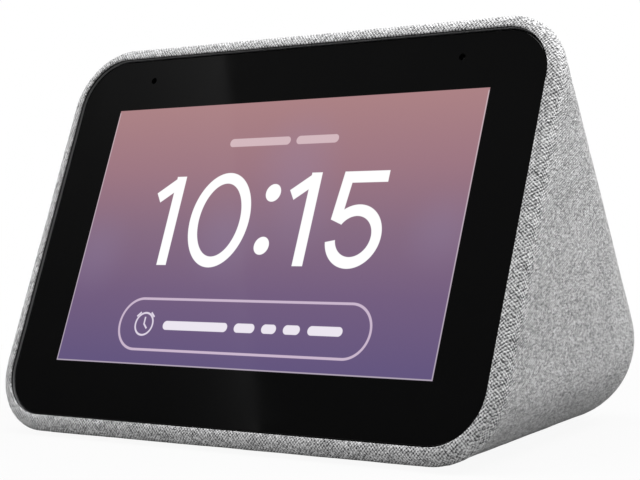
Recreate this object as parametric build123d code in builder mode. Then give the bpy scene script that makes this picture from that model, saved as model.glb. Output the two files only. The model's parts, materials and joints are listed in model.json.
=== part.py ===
from build123d import *
import math
import os

# Smart display: a fabric-covered wedge with a tilted 4-inch touch screen.
# Frame: origin at the middle of the footprint on the table, +Z up, the screen faces -Y.
# Lengths are millimetres. On the screen's own plane, "across" is X, "rise" runs up the screen
# from its centre, and "depth" runs into the body at right angles to the glass.

# ---- driving dimensions -------------------------------------------------------------------
WIDTH = 113.5                 # across the fabric at the front rim
BODY_DEPTH = 83.3             # front rim to the roundest point of the back
TILT = 21.3                   # lean of the screen from upright, degrees
FRONT_TOP = 39.6              # screen centre to the top of the rim, along the screen
FRONT_BOTTOM = 39.7           # screen centre to the bottom of the rim, along the screen
RIM_ROUND = 2.1               # rounding of the rim's front edge
CORNER_R = 12.7               # rim corners, seen square on to the screen
BACK_R = 15.8                 # round of the back, in side view
BACK_HALF_SPAN = 29.6         # centre line of that round ends this far each side of the middle
FOOT_PROUD = 0.5              # rubber foot below the body

FABRIC = 0.7                  # knitted cover
SHELL = 1.8                   # moulded housing wall
INNER = FABRIC + SHELL        # cover and wall together

GLASS_W, GLASS_H, GLASS_R = 108.0, 73.7, 9.6
GLASS_T = 1.1
GLASS_SET_BACK = 0.8          # glass face below the fabric's front face
GLASS_GAP = 0.15
TAPE_T = 0.2
LCD_W, LCD_H, LCD_T = 92.4, 58.0, 1.4
LCD_GAP = 0.3
BACKLIGHT_T = 1.8
BRACKET_T = 0.8
SPLIT_DEPTH = 6.0             # where the front frame meets the rear housing

MIC_ACROSS, MIC_RISE, MIC_HOLE = 36.2, 32.1, 1.3
SENSOR_ACROSS = 28.5

BUTTON_D, BUTTON_PROUD, BUTTON_GAP = 9.0, 0.7, 0.3
BUTTON_ACROSS = 14.0
BUTTON_DOWN_SLOPE = 12.0      # from the ridge, along the rear slope
BUTTON_TRAVEL = 0.35          # press of a volume button

BOX_W, BOX_L, BOX_D = 60.0, 40.0, 17.0      # speaker box: across, along the slope, depth
BOX_WALL = 1.6
BOX_MID = 43.5                # its middle, from the ridge along the slope
BOX_BELOW = 3.0               # its face below the fabric's surface
BASKET_R, CONE_R, COIL_R = 18.0, 13.2, 6.2
CONE_TRAVEL = 1.0             # each way from rest
RADIATOR_L, RADIATOR_W, RADIATOR_ROLL = 19.4, 5.4, 2.3

BASE_FRONT_HALF, BASE_BACK_HALF = 40.0, 28.5    # base plate, seen from below
BASE_FRONT_Y, BASE_BACK_Y = -34.0, 18.0
BASE_R = 9.0
BASE_PLUG_TOP = 3.8
FOOT_T = 1.5
FOOT_MARGIN = 4.0

PANEL_W, PANEL_H, PANEL_T = 62.0, 13.0, 1.6
PANEL_SET_BACK = 2.4
USB_X, JACK_X, MUTE_X = -15.0, 20.0, 4.0
USB_W, USB_H, USB_L, USB_T = 13.1, 5.7, 13.5, 0.4
JACK_BODY, JACK_BORE_R, JACK_PIN_R, JACK_L = 8.4, 3.1, 0.9, 11.0
MUTE_TRAVEL = 2.0

BOARD_T = 1.2
SCREW_R, SCREW_HEAD_R, SCREW_HEAD_T = 1.0, 1.9, 1.1

# ---- derived geometry ----------------------------------------------------------------------
lean_sin = math.sin(math.radians(TILT))
lean_cos = math.cos(math.radians(TILT))


def in_side_view(rise, depth):
    """(y, z) offset from the screen centre of a point on the screen's own axes."""
    return rise * lean_sin + depth * lean_cos, rise * lean_cos - depth * lean_sin


# the body stands on its front lower edge and on its back round, both tangent to z = FOOT_PROUD
low_y, low_z = in_side_view(RIM_ROUND - FRONT_BOTTOM, RIM_ROUND)
screen_y = -BODY_DEPTH / 2 + RIM_ROUND - low_y
screen_z = FOOT_PROUD + RIM_ROUND - low_z
back_y = BODY_DEPTH / 2 - BACK_R
back_z = FOOT_PROUD + BACK_R
dy, dz = back_y - screen_y, back_z - screen_z
back_rise = dy * lean_sin + dz * lean_cos
back_depth = dy * lean_cos - dz * lean_sin

screen = Plane(origin=(0, screen_y, screen_z), x_dir=(1, 0, 0), z_dir=(0, -lean_cos, lean_sin))


def tangent_angle(run, drop):
    """Angle, from the depth axis, of the wall tangent to the rim round and the back round."""
    return math.atan2(drop, run) - math.asin((BACK_R - RIM_ROUND) / math.hypot(run, drop))


depth_run = back_depth - RIM_ROUND
top_angle = tangent_angle(depth_run, FRONT_TOP - RIM_ROUND - back_rise)
bottom_angle = tangent_angle(depth_run, FRONT_BOTTOM - RIM_ROUND + back_rise)
side_angle = tangent_angle(depth_run, WIDTH / 2 - RIM_ROUND - BACK_HALF_SPAN)


def wall_at(reach, angle, depth, inset):
    """Distance from the axis of a wall, at a depth, for a form that is inset all round."""
    start = reach - RIM_ROUND + (RIM_ROUND - inset) / math.cos(angle)
    return start - (depth - RIM_ROUND) * math.tan(angle)


def body_form(inset):
    """The closed wedge, inset all round: a lofted front part and a round-ended back bar."""
    radius = BACK_R - inset
    join = 6.0
    half = math.sqrt(radius**2 - join**2) - 0.02
    joint_depth = back_depth + join
    across = 2 * wall_at(WIDTH / 2, side_angle, inset, inset)
    top = wall_at(FRONT_TOP, top_angle, inset, inset)
    bottom = -wall_at(FRONT_BOTTOM, bottom_angle, inset, inset)
    corner = CORNER_R + 0.7 - inset
    with BuildPart() as form:
        with BuildSketch(screen.offset(-inset)):
            with Locations((0, (top + bottom) / 2)):
                RectangleRounded(across, top - bottom, corner)
        with BuildSketch(screen.offset(-joint_depth)):
            with Locations((0, back_rise)):
                RectangleRounded(2 * (BACK_HALF_SPAN + half), 2 * half, half - 0.01)
        loft(ruled=True)
        if RIM_ROUND - inset > 0.5:
            front_edges = form.faces().sort_by(Axis(screen.origin, screen.z_dir))[-1].edges()
            fillet(front_edges, RIM_ROUND - inset)
        with Locations(Location((0, back_y, back_z), (0, 90, 0))):
            Cylinder(radius, 2 * BACK_HALF_SPAN)
        with Locations((-BACK_HALF_SPAN, back_y, back_z), (BACK_HALF_SPAN, back_y, back_z)):
            Sphere(radius)
    return form.part


outer_form = body_form(0)
shell_form = body_form(FABRIC)
cavity_form = body_form(INNER)

# the rear slope: local x across, local y down the slope from the ridge, local z outwards
slope_lean = top_angle + math.radians(TILT)
slope_normal = (0, math.sin(slope_lean), math.cos(slope_lean))
rim_y, rim_z = in_side_view(FRONT_TOP - RIM_ROUND, RIM_ROUND)
ridge_y = screen_y + rim_y + RIM_ROUND * slope_normal[1]
ridge_z = screen_z + rim_z + RIM_ROUND * slope_normal[2]
slope = Plane(origin=(0, ridge_y, ridge_z), x_dir=(1, 0, 0), z_dir=slope_normal)

panel_y = BODY_DEPTH / 2 - PANEL_SET_BACK     # outer face of the rear connector panel
port_z = back_z                               # height of the connectors' centres
panel_face = Plane(origin=(0, panel_y, port_z), x_dir=(-1, 0, 0), z_dir=(0, 1, 0))

os.makedirs("parts", exist_ok=True)


def save(piece, label):
    piece.part.label = label
    export_step(piece.part, f"parts/{label}.step")


def base_outline(shrink):
    """The footprint of the base, drawn into the sketch that calls it."""
    front, back = BASE_FRONT_HALF - shrink, BASE_BACK_HALF - shrink
    y0, y1 = BASE_FRONT_Y + shrink, BASE_BACK_Y - shrink
    Polygon((-front, y0), (front, y0), (back, y1), (-back, y1), align=None)


def slab(depth, thickness, width, height, radius, rise=0.0):
    """A rounded plate parallel to the glass, its front face at a depth."""
    with BuildPart() as plate:
        with BuildSketch(screen.offset(-depth)):
            with Locations((0, rise)):
                RectangleRounded(width, height, radius)
        extrude(amount=-thickness)
    return plate.part


def screws(seat, points, length):
    """Pan-head screws: heads stand on the seat plane, shanks run down its normal."""
    with BuildPart() as group:
        with BuildSketch(seat):
            with Locations(*points):
                Circle(SCREW_HEAD_R)
        extrude(amount=SCREW_HEAD_T)
        with BuildSketch(seat):
            with Locations(*points):
                Circle(SCREW_R)
        extrude(amount=-length)
        with BuildSketch(seat.offset(SCREW_HEAD_T)):
            with Locations(*points):
                Rectangle(2.2, 0.5)
                Rectangle(0.5, 2.2)
        extrude(amount=-0.5, mode=Mode.SUBTRACT)
    return group.part


def shanks(seat, points, length):
    """The shanks alone, to cut the holes that the same screws sit in."""
    with BuildPart() as group:
        with BuildSketch(seat):
            with Locations(*points):
                Circle(SCREW_R)
        extrude(amount=-length)
    return group.part


def behind_screen(depth):
    """A plane parallel to the glass that looks into the body; its local y runs down."""
    return Plane(origin=screen.offset(-depth).origin, x_dir=(1, 0, 0), z_dir=-screen.z_dir)


def flipped(points):
    return [(x, -y) for x, y in points]


# ---- screen stack --------------------------------------------------------------------------
glass_back = GLASS_SET_BACK + GLASS_T
lcd_back = glass_back + LCD_T
backlight_back = lcd_back + BACKLIGHT_T
foam_back = SPLIT_DEPTH
bracket_back = foam_back + BRACKET_T
board_front = 12.0
board_back = board_front + BOARD_T
mic_points = [(-MIC_ACROSS, MIC_RISE), (MIC_ACROSS, MIC_RISE)]
frame_screw_points = [(x, y) for x in (-50.2, 50.2) for y in (-24.0, 24.0)]
bracket_screw_points = [(x, y) for x in (-44.0, 44.0) for y in (-30.9, 30.9)]
standoff_points = [(x, y) for x in (-36.0, 36.0) for y in (-20.0, 16.0)]
FRAME_SCREW_L, BRACKET_SCREW_L, BOARD_SCREW_L = 8.0, 3.6, 4.4

with BuildPart() as cover_glass:
    add(slab(GLASS_SET_BACK, GLASS_T, GLASS_W, GLASS_H, GLASS_R))
    front_face = cover_glass.faces().sort_by(Axis(screen.origin, screen.z_dir))[-1]
    fillet(front_face.edges(), 0.4)
    with BuildSketch(screen):
        with Locations(*mic_points):
            Circle(MIC_HOLE / 2)
    extrude(amount=-glass_back, mode=Mode.SUBTRACT)
save(cover_glass, "cover_glass")

with BuildPart() as glass_tape:
    add(slab(glass_back, TAPE_T, GLASS_W - 1.0, GLASS_H - 1.0, GLASS_R - 0.5))
    with BuildSketch(screen.offset(-glass_back)):
        Rectangle(LCD_W + 1.6, LCD_H + 1.6)
        with Locations(*mic_points):
            Circle(MIC_HOLE / 2 + 0.3)
        with Locations((SENSOR_ACROSS, MIC_RISE)):
            Circle(1.6)
    extrude(amount=-TAPE_T, mode=Mode.SUBTRACT)
save(glass_tape, "glass_tape")

with BuildPart() as lcd_panel:
    add(slab(glass_back, LCD_T, LCD_W, LCD_H, 0.5))
save(lcd_panel, "lcd_panel")

with BuildPart() as backlight:
    add(slab(lcd_back, BACKLIGHT_T, LCD_W, LCD_H, 0.5))
save(backlight, "backlight")

with BuildPart() as display_foam:
    add(slab(backlight_back, foam_back - backlight_back, 88.0, 50.0, 2.0, rise=2.0))
save(display_foam, "display_foam")

with BuildPart() as display_bracket:
    add(slab(foam_back, BRACKET_T, 95.0, 64.0, 4.0))
    with BuildSketch(screen.offset(-bracket_back)):
        with Locations(*standoff_points):
            Circle(2.6)
    extrude(amount=-(board_front - bracket_back))
    with BuildSketch(screen.offset(-foam_back)):
        with Locations(*[(x, MIC_RISE) for x in (-MIC_ACROSS, SENSOR_ACROSS, MIC_ACROSS)]):
            Rectangle(9.4, 8.0)
        with Locations((0, -26.75)):
            Rectangle(20.0, 1.6)
        with Locations((0, 2.0)):
            RectangleRounded(40.0, 24.0, 4.0)
        with Locations(*bracket_screw_points):
            Circle(SCREW_R)
    extrude(amount=-BRACKET_T, mode=Mode.SUBTRACT)
    with BuildSketch(screen.offset(-board_front)):
        with Locations(*standoff_points):
            Circle(SCREW_R)
    extrude(amount=BOARD_SCREW_L - BOARD_T + 0.4, mode=Mode.SUBTRACT)
save(display_bracket, "display_bracket")


with BuildPart() as front_frame:
    add(shell_form)
    split(bisect_by=screen.offset(-SPLIT_DEPTH), keep=Keep.TOP)
    with BuildSketch(screen):
        RectangleRounded(GLASS_W + 2 * GLASS_GAP, GLASS_H + 2 * GLASS_GAP, GLASS_R + GLASS_GAP)
    extrude(amount=-(glass_back + TAPE_T), mode=Mode.SUBTRACT)
    with BuildSketch(screen):
        RectangleRounded(LCD_W + 2 * LCD_GAP, LCD_H + 2 * LCD_GAP, 0.8)
        with Locations(*mic_points):
            Circle(MIC_HOLE / 2)
        with Locations((SENSOR_ACROSS, MIC_RISE)):
            Rectangle(2.4, 2.4)
    extrude(amount=-SPLIT_DEPTH, mode=Mode.SUBTRACT)
    with BuildSketch(screen.offset(-(glass_back + TAPE_T))):
        with Locations(*frame_screw_points):
            Circle(SCREW_HEAD_R + 0.1)
    extrude(amount=-SCREW_HEAD_T, mode=Mode.SUBTRACT)
    add(shanks(screen.offset(-glass_back), frame_screw_points, SPLIT_DEPTH), mode=Mode.SUBTRACT)
    add(shanks(behind_screen(bracket_back), flipped(bracket_screw_points), BRACKET_SCREW_L),
        mode=Mode.SUBTRACT)
save(front_frame, "front_frame")

frame_screw_seat = glass_back + TAPE_T + SCREW_HEAD_T
with BuildPart() as frame_screws:
    add(screws(screen.offset(-frame_screw_seat), frame_screw_points, FRAME_SCREW_L))
save(frame_screws, "frame_screws")

with BuildPart() as bracket_screws:
    add(screws(behind_screen(bracket_back), flipped(bracket_screw_points), BRACKET_SCREW_L))
save(bracket_screws, "bracket_screws")

# ---- microphones, light sensor and aerials ---------------------------------------------------
for side, across in (("left", -MIC_ACROSS), ("right", MIC_ACROSS)):
    with BuildPart() as microphone_gasket:
        with BuildSketch(screen.offset(-SPLIT_DEPTH)):
            with Locations((across, MIC_RISE)):
                Circle(2.1)
                Circle(MIC_HOLE / 2, mode=Mode.SUBTRACT)
        extrude(amount=-0.8)
    save(microphone_gasket, f"microphone_gasket_{side}")
    with BuildPart() as microphone_board:
        with BuildSketch(screen.offset(-SPLIT_DEPTH - 0.8)):
            with Locations((across, MIC_RISE)):
                Rectangle(7.0, 4.4)
                Circle(0.4, mode=Mode.SUBTRACT)
        extrude(amount=-0.7)
    save(microphone_board, f"microphone_board_{side}")
    with BuildPart() as microphone:
        with BuildSketch(screen.offset(-SPLIT_DEPTH - 1.5)):
            with Locations((across, MIC_RISE - 0.3)):
                RectangleRounded(3.5, 2.6, 0.3)
        extrude(amount=-0.9)
    save(microphone, f"microphone_{side}")
    with BuildPart() as aerial:
        with BuildSketch(screen.offset(-SPLIT_DEPTH)):
            with Locations((math.copysign(49.9, across), 0)):
                RectangleRounded(3.4, 34.0, 0.8)
        extrude(amount=-0.6)
    save(aerial, f"antenna_{side}")

with BuildPart() as light_sensor:
    with BuildSketch(screen.offset(-glass_back - 1.6)):
        with Locations((SENSOR_ACROSS, MIC_RISE)):
            Rectangle(2.0, 2.0)
    extrude(amount=-(SPLIT_DEPTH - glass_back - 1.6))
    with BuildSketch(screen.offset(-SPLIT_DEPTH)):
        with Locations((SENSOR_ACROSS, MIC_RISE)):
            Rectangle(6.0, 4.0)
    extrude(amount=-0.6)
save(light_sensor, "light_sensor")

# ---- main board ------------------------------------------------------------------------------
CHIP_T, CAN_T, CAN_WALL = 1.2, 2.6, 0.3
CAN_ACROSS, CAN_RISE, CAN_W, CAN_L = -14.0, -5.0, 36.0, 24.0
PORT_RIBBON_X = 12.5

with BuildPart() as main_board:
    add(slab(board_front, BOARD_T, 80.0, 44.0, 2.0, rise=-2.0))
    add(shanks(screen.offset(-board_front), standoff_points, BOARD_T), mode=Mode.SUBTRACT)
save(main_board, "main_board")

with BuildPart() as board_screws:
    add(screws(behind_screen(board_back), flipped(standoff_points), BOARD_SCREW_L))
save(board_screws, "board_screws")

with BuildPart() as processor:
    with BuildSketch(screen.offset(-board_back)):
        with Locations((CAN_ACROSS - 7.0, CAN_RISE)):
            Rectangle(14.0, 14.0)
    extrude(amount=-CHIP_T)
save(processor, "processor")

with BuildPart() as memory_chips:
    with BuildSketch(screen.offset(-board_back)):
        with Locations((CAN_ACROSS + 9.0, CAN_RISE + 5.0), (CAN_ACROSS + 9.0, CAN_RISE - 5.0)):
            Rectangle(11.0, 8.0)
    extrude(amount=-1.0)
save(memory_chips, "memory_chips")

with BuildPart() as shield_can:
    with BuildSketch(screen.offset(-board_back)):
        with Locations((CAN_ACROSS, CAN_RISE)):
            RectangleRounded(CAN_W, CAN_L, 1.0)
    extrude(amount=-CAN_T)
    with BuildSketch(screen.offset(-board_back)):
        with Locations((CAN_ACROSS, CAN_RISE)):
            RectangleRounded(CAN_W - 2 * CAN_WALL, CAN_L - 2 * CAN_WALL, 0.7)
    extrude(amount=-(CAN_T - CAN_WALL), mode=Mode.SUBTRACT)
save(shield_can, "shield_can")

with BuildPart() as thermal_pad:
    with BuildSketch(screen.offset(-board_back - CHIP_T)):
        with Locations((CAN_ACROSS - 7.0, CAN_RISE)):
            Rectangle(13.0, 13.0)
    extrude(amount=-(CAN_T - CAN_WALL - CHIP_T))
save(thermal_pad, "thermal_pad")

with BuildPart() as heat_spreader:
    with BuildSketch(screen.offset(-board_back - CAN_T)):
        with Locations((CAN_ACROSS, CAN_RISE - 1.0)):
            RectangleRounded(40.0, 26.0, 2.0)
    extrude(amount=-0.6)
save(heat_spreader, "heat_spreader")

connector_places = ((0.0, -21.5, 18.0), (PORT_RIBBON_X, -14.0, 12.0), (24.0, 12.0, 6.0))
with BuildPart() as board_connectors:
    for across, rise, width in connector_places:
        with BuildSketch(screen.offset(-board_back)):
            with Locations((across, rise)):
                Rectangle(width, 3.0)
        extrude(amount=-0.7)
save(board_connectors, "board_connectors")

with BuildPart() as power_parts:
    with BuildSketch(screen.offset(-board_back)):
        with Locations((14.0, 3.0), (22.0, 3.0), (30.0, 3.0)):
            RectangleRounded(5.0, 5.0, 0.8)
    extrude(amount=-2.2)
save(power_parts, "power_parts")

# a flat cable from the backlight's lower edge, through the bracket, round to the board's back
RIBBON_T = 0.3
with BuildPart() as display_ribbon:
    with BuildSketch(screen.offset(-backlight_back)):
        with Locations((0, -26.75)):
            Rectangle(16.0, RIBBON_T)
    extrude(amount=-(board_back + 0.7 + RIBBON_T - backlight_back))
    with BuildSketch(screen.offset(-board_back - 0.7)):
        with Locations((0, -23.5)):
            Rectangle(16.0, 6.8)
    extrude(amount=-RIBBON_T)
save(display_ribbon, "display_ribbon")

# ---- speaker ---------------------------------------------------------------------------------
box_top = BOX_BELOW + BOX_WALL               # inside face of the baffle
box_bottom = BOX_BELOW + BOX_D
box_middle = slope.offset(-(box_top + box_bottom - BOX_WALL) / 2)
speaker_lugs = [(x, BOX_MID - BOX_L / 2 - 3.0) for x in (-22.0, 22.0)]
speaker_lugs += [(x, BOX_MID) for x in (-BOX_W / 2 - 3.0, BOX_W / 2 + 3.0)]
LUG_TOP, LUG_T, LUG_R = 6.0, 1.6, 3.0
FLANGE_T, CAN_DEPTH, PLATE_T = 1.2, 4.2, 1.2
plate_top = box_top + FLANGE_T + CAN_DEPTH    # the basket's floor, which carries the magnet
magnet_top = plate_top + PLATE_T
MAGNET_R, MAGNET_HOLE_R, MAGNET_T, YOKE_T, POLE_R = 12.0, 7.4, 4.0, 1.2, 5.3

with BuildPart() as speaker_box:
    with BuildSketch(slope.offset(-box_top)):
        with Locations((0, BOX_MID)):
            RectangleRounded(BOX_W, BOX_L, 3.0)
    extrude(amount=-(box_bottom - box_top))
    with BuildSketch(slope.offset(-LUG_TOP)):
        with Locations(*speaker_lugs):
            Rectangle(2 * LUG_R, 2 * LUG_R)
    extrude(amount=-LUG_T)
    with BuildSketch(slope.offset(-box_top)):
        with Locations((0, BOX_MID)):
            RectangleRounded(BOX_W - 2 * BOX_WALL, BOX_L - 2 * BOX_WALL, 1.6)
    extrude(amount=-(box_bottom - box_top - BOX_WALL), mode=Mode.SUBTRACT)
    with BuildSketch(Plane(origin=(0, box_middle.origin.Y, box_middle.origin.Z),
                           x_dir=slope.y_dir, z_dir=(1, 0, 0))):
        with Locations((BOX_MID, 0)):
            SlotOverall(RADIATOR_L + 2 * RADIATOR_ROLL, RADIATOR_W + 2 * RADIATOR_ROLL)
    extrude(amount=BOX_W, both=True, mode=Mode.SUBTRACT)
    add(shanks(slope.offset(-LUG_TOP), speaker_lugs, LUG_T), mode=Mode.SUBTRACT)
save(speaker_box, "speaker_box")

with BuildPart() as speaker_baffle:
    with BuildSketch(slope.offset(-BOX_BELOW)):
        with Locations((0, BOX_MID)):
            RectangleRounded(BOX_W, BOX_L, 3.0)
            Circle(BASKET_R - 1.6, mode=Mode.SUBTRACT)
    extrude(amount=-BOX_WALL)
save(speaker_baffle, "speaker_baffle")

driver = slope.offset(-box_top)


def driver_ring(below, thickness, outer, inner):
    """A ring on the driver's axis, starting a distance below the baffle."""
    with BuildPart() as ring:
        with BuildSketch(driver.offset(-below)):
            with Locations((0, BOX_MID)):
                Circle(outer)
                if inner:
                    Circle(inner, mode=Mode.SUBTRACT)
        extrude(amount=-thickness)
    return ring.part


flange_inner = BASKET_R - 1.8
with BuildPart() as speaker_basket:
    add(driver_ring(0, FLANGE_T, BASKET_R, flange_inner))
    add(driver_ring(FLANGE_T, CAN_DEPTH, BASKET_R - 1.0, flange_inner))
    add(driver_ring(FLANGE_T + CAN_DEPTH, PLATE_T, BASKET_R - 1.0, COIL_R + 0.7))
    with BuildSketch(driver.offset(-FLANGE_T)):
        with Locations((0, BOX_MID)):
            with PolarLocations(BASKET_R - 1.4, 4, start_angle=45):
                Rectangle(4.0, 12.0)
    extrude(amount=-(CAN_DEPTH - 0.6), mode=Mode.SUBTRACT)
save(speaker_basket, "speaker_basket")

with BuildPart() as speaker_magnet:
    add(driver_ring(magnet_top - box_top, MAGNET_T, MAGNET_R, MAGNET_HOLE_R))
save(speaker_magnet, "speaker_magnet")

with BuildPart() as speaker_yoke:
    add(driver_ring(magnet_top - box_top + MAGNET_T, YOKE_T, MAGNET_R, 0))
    add(driver_ring(plate_top - box_top, MAGNET_T + PLATE_T, POLE_R, 0))
save(speaker_yoke, "speaker_yoke")

CONE_TOP, CONE_DEEP, PAPER_T, COIL_CLEAR = 1.6, 3.4, 0.5, 0.3
CAP_TOP = CONE_DEEP - 1.2
CONE_FOOT = CONE_DEEP + PAPER_T
coil_length = magnet_top + MAGNET_T - box_top - CONE_FOOT - CONE_TRAVEL - COIL_CLEAR
cone_side = Plane(origin=slope.from_local_coords((0, BOX_MID, -box_top)), x_dir=(1, 0, 0),
                  z_dir=-slope.y_dir)
with BuildPart() as speaker_cone:
    with BuildSketch(cone_side):
        Polygon((COIL_R, -CONE_DEEP), (CONE_R, -CONE_TOP), (CONE_R, -CONE_TOP - PAPER_T),
                (COIL_R, -CONE_FOOT), align=None)
    revolve(axis=Axis(cone_side.origin, cone_side.y_dir))
    with BuildSketch(cone_side):
        with BuildLine():
            ThreePointArc((0, -CAP_TOP), (COIL_R * 0.55, -CAP_TOP - 0.35), (COIL_R, -CONE_DEEP))
            Line((COIL_R, -CONE_DEEP), (COIL_R, -CONE_FOOT))
            Line((COIL_R, -CONE_FOOT), (0, -CONE_FOOT))
            Line((0, -CONE_FOOT), (0, -CAP_TOP))
        make_face()
    revolve(axis=Axis(cone_side.origin, cone_side.y_dir))
save(speaker_cone, "speaker_cone")

with BuildPart() as voice_coil:
    add(driver_ring(CONE_FOOT, coil_length, COIL_R, COIL_R - 0.5))
save(voice_coil, "voice_coil")

ROLL_T = 0.4
roll_middle = (CONE_R + flange_inner) / 2
roll_edge = -CONE_TOP + 0.6
with BuildPart() as speaker_surround:
    with BuildSketch(cone_side):
        with BuildLine():
            ThreePointArc((CONE_R, -CONE_TOP), (roll_middle, -ROLL_T), (flange_inner, roll_edge))
            Line((flange_inner, roll_edge), (flange_inner, roll_edge - ROLL_T))
            ThreePointArc((flange_inner, roll_edge - ROLL_T), (roll_middle, -2 * ROLL_T),
                          (CONE_R, -CONE_TOP - ROLL_T))
            Line((CONE_R, -CONE_TOP - ROLL_T), (CONE_R, -CONE_TOP))
        make_face()
    revolve(axis=Axis(cone_side.origin, cone_side.y_dir))
save(speaker_surround, "speaker_surround")

lug_face = slope.offset(-LUG_TOP - LUG_T)
lug_back = Plane(origin=lug_face.origin, x_dir=(1, 0, 0), z_dir=-slope.z_dir)
with BuildPart() as speaker_screws:
    add(screws(lug_back, flipped(speaker_lugs), LUG_T + 3.0))
save(speaker_screws, "speaker_screws")

for side, sign in (("left", -1), ("right", 1)):
    wall = Plane(origin=(sign * (BOX_W / 2 - 1.0), box_middle.origin.Y, box_middle.origin.Z),
                 x_dir=slope.y_dir, z_dir=(1, 0, 0))
    with BuildPart() as radiator:
        with BuildSketch(wall):
            with Locations((BOX_MID, 0)):
                SlotOverall(RADIATOR_L, RADIATOR_W)
        extrude(amount=0.8, both=True)
    save(radiator, f"passive_radiator_{side}")
    with BuildPart() as radiator_roll:
        with BuildSketch(wall):
            with Locations((BOX_MID, 0)):
                SlotOverall(RADIATOR_L + 2 * RADIATOR_ROLL, RADIATOR_W + 2 * RADIATOR_ROLL)
                SlotOverall(RADIATOR_L, RADIATOR_W, mode=Mode.SUBTRACT)
        extrude(amount=0.25, both=True)
    save(radiator_roll, f"radiator_surround_{side}")

# ---- volume buttons --------------------------------------------------------------------------
BUTTON_FLANGE_R, FLANGE_TOP, BUTTON_FLANGE_T, STUB_END = 5.4, 2.65, 0.8, 4.0
NUB_CLEAR, SWITCH_TOP, SWITCH_BOARD_TOP = 0.1, 4.8, 6.2
nub_top = STUB_END + BUTTON_TRAVEL + NUB_CLEAR
button_points = [(-BUTTON_ACROSS, BUTTON_DOWN_SLOPE), (BUTTON_ACROSS, BUTTON_DOWN_SLOPE)]
post_points = [(-21.3, BUTTON_DOWN_SLOPE), (0, BUTTON_DOWN_SLOPE), (21.3, BUTTON_DOWN_SLOPE)]

for name, point in zip(("volume_down_button", "volume_up_button"), button_points):
    with BuildPart() as button:
        with BuildSketch(slope.offset(BUTTON_PROUD)):
            with Locations(point):
                Circle(BUTTON_D / 2)
        extrude(amount=-(BUTTON_PROUD + FLANGE_TOP))
        fillet(button.faces().sort_by(Axis(slope.origin, slope.z_dir))[-1].edges(), 0.5)
        with BuildSketch(slope.offset(-FLANGE_TOP)):
            with Locations(point):
                Circle(BUTTON_FLANGE_R)
        extrude(amount=-BUTTON_FLANGE_T)
        with BuildSketch(slope.offset(-FLANGE_TOP - BUTTON_FLANGE_T)):
            with Locations(point):
                Circle(1.5)
        extrude(amount=-(STUB_END - FLANGE_TOP - BUTTON_FLANGE_T))
        with BuildSketch(slope.offset(BUTTON_PROUD)):
            with Locations(point):
                Rectangle(4.2, 0.8)
                if name == "volume_up_button":
                    Rectangle(0.8, 4.2)
        extrude(amount=-0.3, mode=Mode.SUBTRACT)
    save(button, name)

with BuildPart() as volume_switches:
    with BuildSketch(slope.offset(-SWITCH_TOP)):
        with Locations(*button_points):
            RectangleRounded(4.2, 4.2, 0.4)
    extrude(amount=-(SWITCH_BOARD_TOP - SWITCH_TOP))
    with BuildSketch(slope.offset(-nub_top)):
        with Locations(*button_points):
            Circle(1.0)
    extrude(amount=-(SWITCH_TOP - nub_top))
save(volume_switches, "volume_switches")

with BuildPart() as volume_board:
    with BuildSketch(slope.offset(-SWITCH_BOARD_TOP)):
        with Locations((0, BUTTON_DOWN_SLOPE)):
            RectangleRounded(46.0, 7.0, 1.0)
    extrude(amount=-0.8)
save(volume_board, "volume_board")

# ---- base, chassis and foot ------------------------------------------------------------------
plug_gap = 0.15
HOUSING_LEDGE = 2.5
base_screw_points = [(-27.0, -26.0), (27.0, -26.0), (-21.0, 10.0), (21.0, 10.0)]
BASE_SCREW_L, PORT_SCREW_L = 6.4, 3.0
CHASSIS_T, FRONT_POST_TOP, POST_R = 1.4, 9.4, 3.0
port_board_top = port_z - USB_H / 2
port_board_bottom = port_board_top - BOARD_T
base_seat = Plane(origin=(0, 0, FOOT_T + SCREW_HEAD_T), x_dir=(1, 0, 0), z_dir=(0, 0, -1))

with BuildPart() as base_plate:
    with BuildSketch(Plane.XY.offset(FOOT_PROUD)) as sole:
        base_outline(0.1)
        fillet(sole.vertices(), BASE_R)
    extrude(amount=FABRIC)
    with BuildSketch(Plane.XY.offset(FOOT_PROUD + FABRIC)) as plug:
        base_outline(HOUSING_LEDGE + plug_gap)
        fillet(plug.vertices(), BASE_R - HOUSING_LEDGE)
    extrude(amount=BASE_PLUG_TOP - FOOT_PROUD - FABRIC)
    with BuildSketch(Plane.XY) as pocket:
        base_outline(FOOT_MARGIN)
        fillet(pocket.vertices(), BASE_R - FOOT_MARGIN)
    extrude(amount=FOOT_T, mode=Mode.SUBTRACT)
    with BuildSketch(Plane.XY):
        with Locations(*base_screw_points):
            Circle(SCREW_HEAD_R + 0.1)
    extrude(amount=FOOT_T + SCREW_HEAD_T, mode=Mode.SUBTRACT)
    with BuildSketch(Plane.XY):
        with Locations(*base_screw_points):
            Circle(SCREW_R)
    extrude(amount=BASE_PLUG_TOP, mode=Mode.SUBTRACT)
save(base_plate, "base_plate")

with BuildPart() as rubber_foot:
    with BuildSketch(Plane.XY) as foot_outline:
        base_outline(FOOT_MARGIN)
        fillet(foot_outline.vertices(), BASE_R - FOOT_MARGIN)
    extrude(amount=FOOT_T)
save(rubber_foot, "rubber_foot")

with BuildPart() as base_screws:
    add(screws(base_seat, flipped(base_screw_points), BASE_SCREW_L))
save(base_screws, "base_screws")

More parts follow.
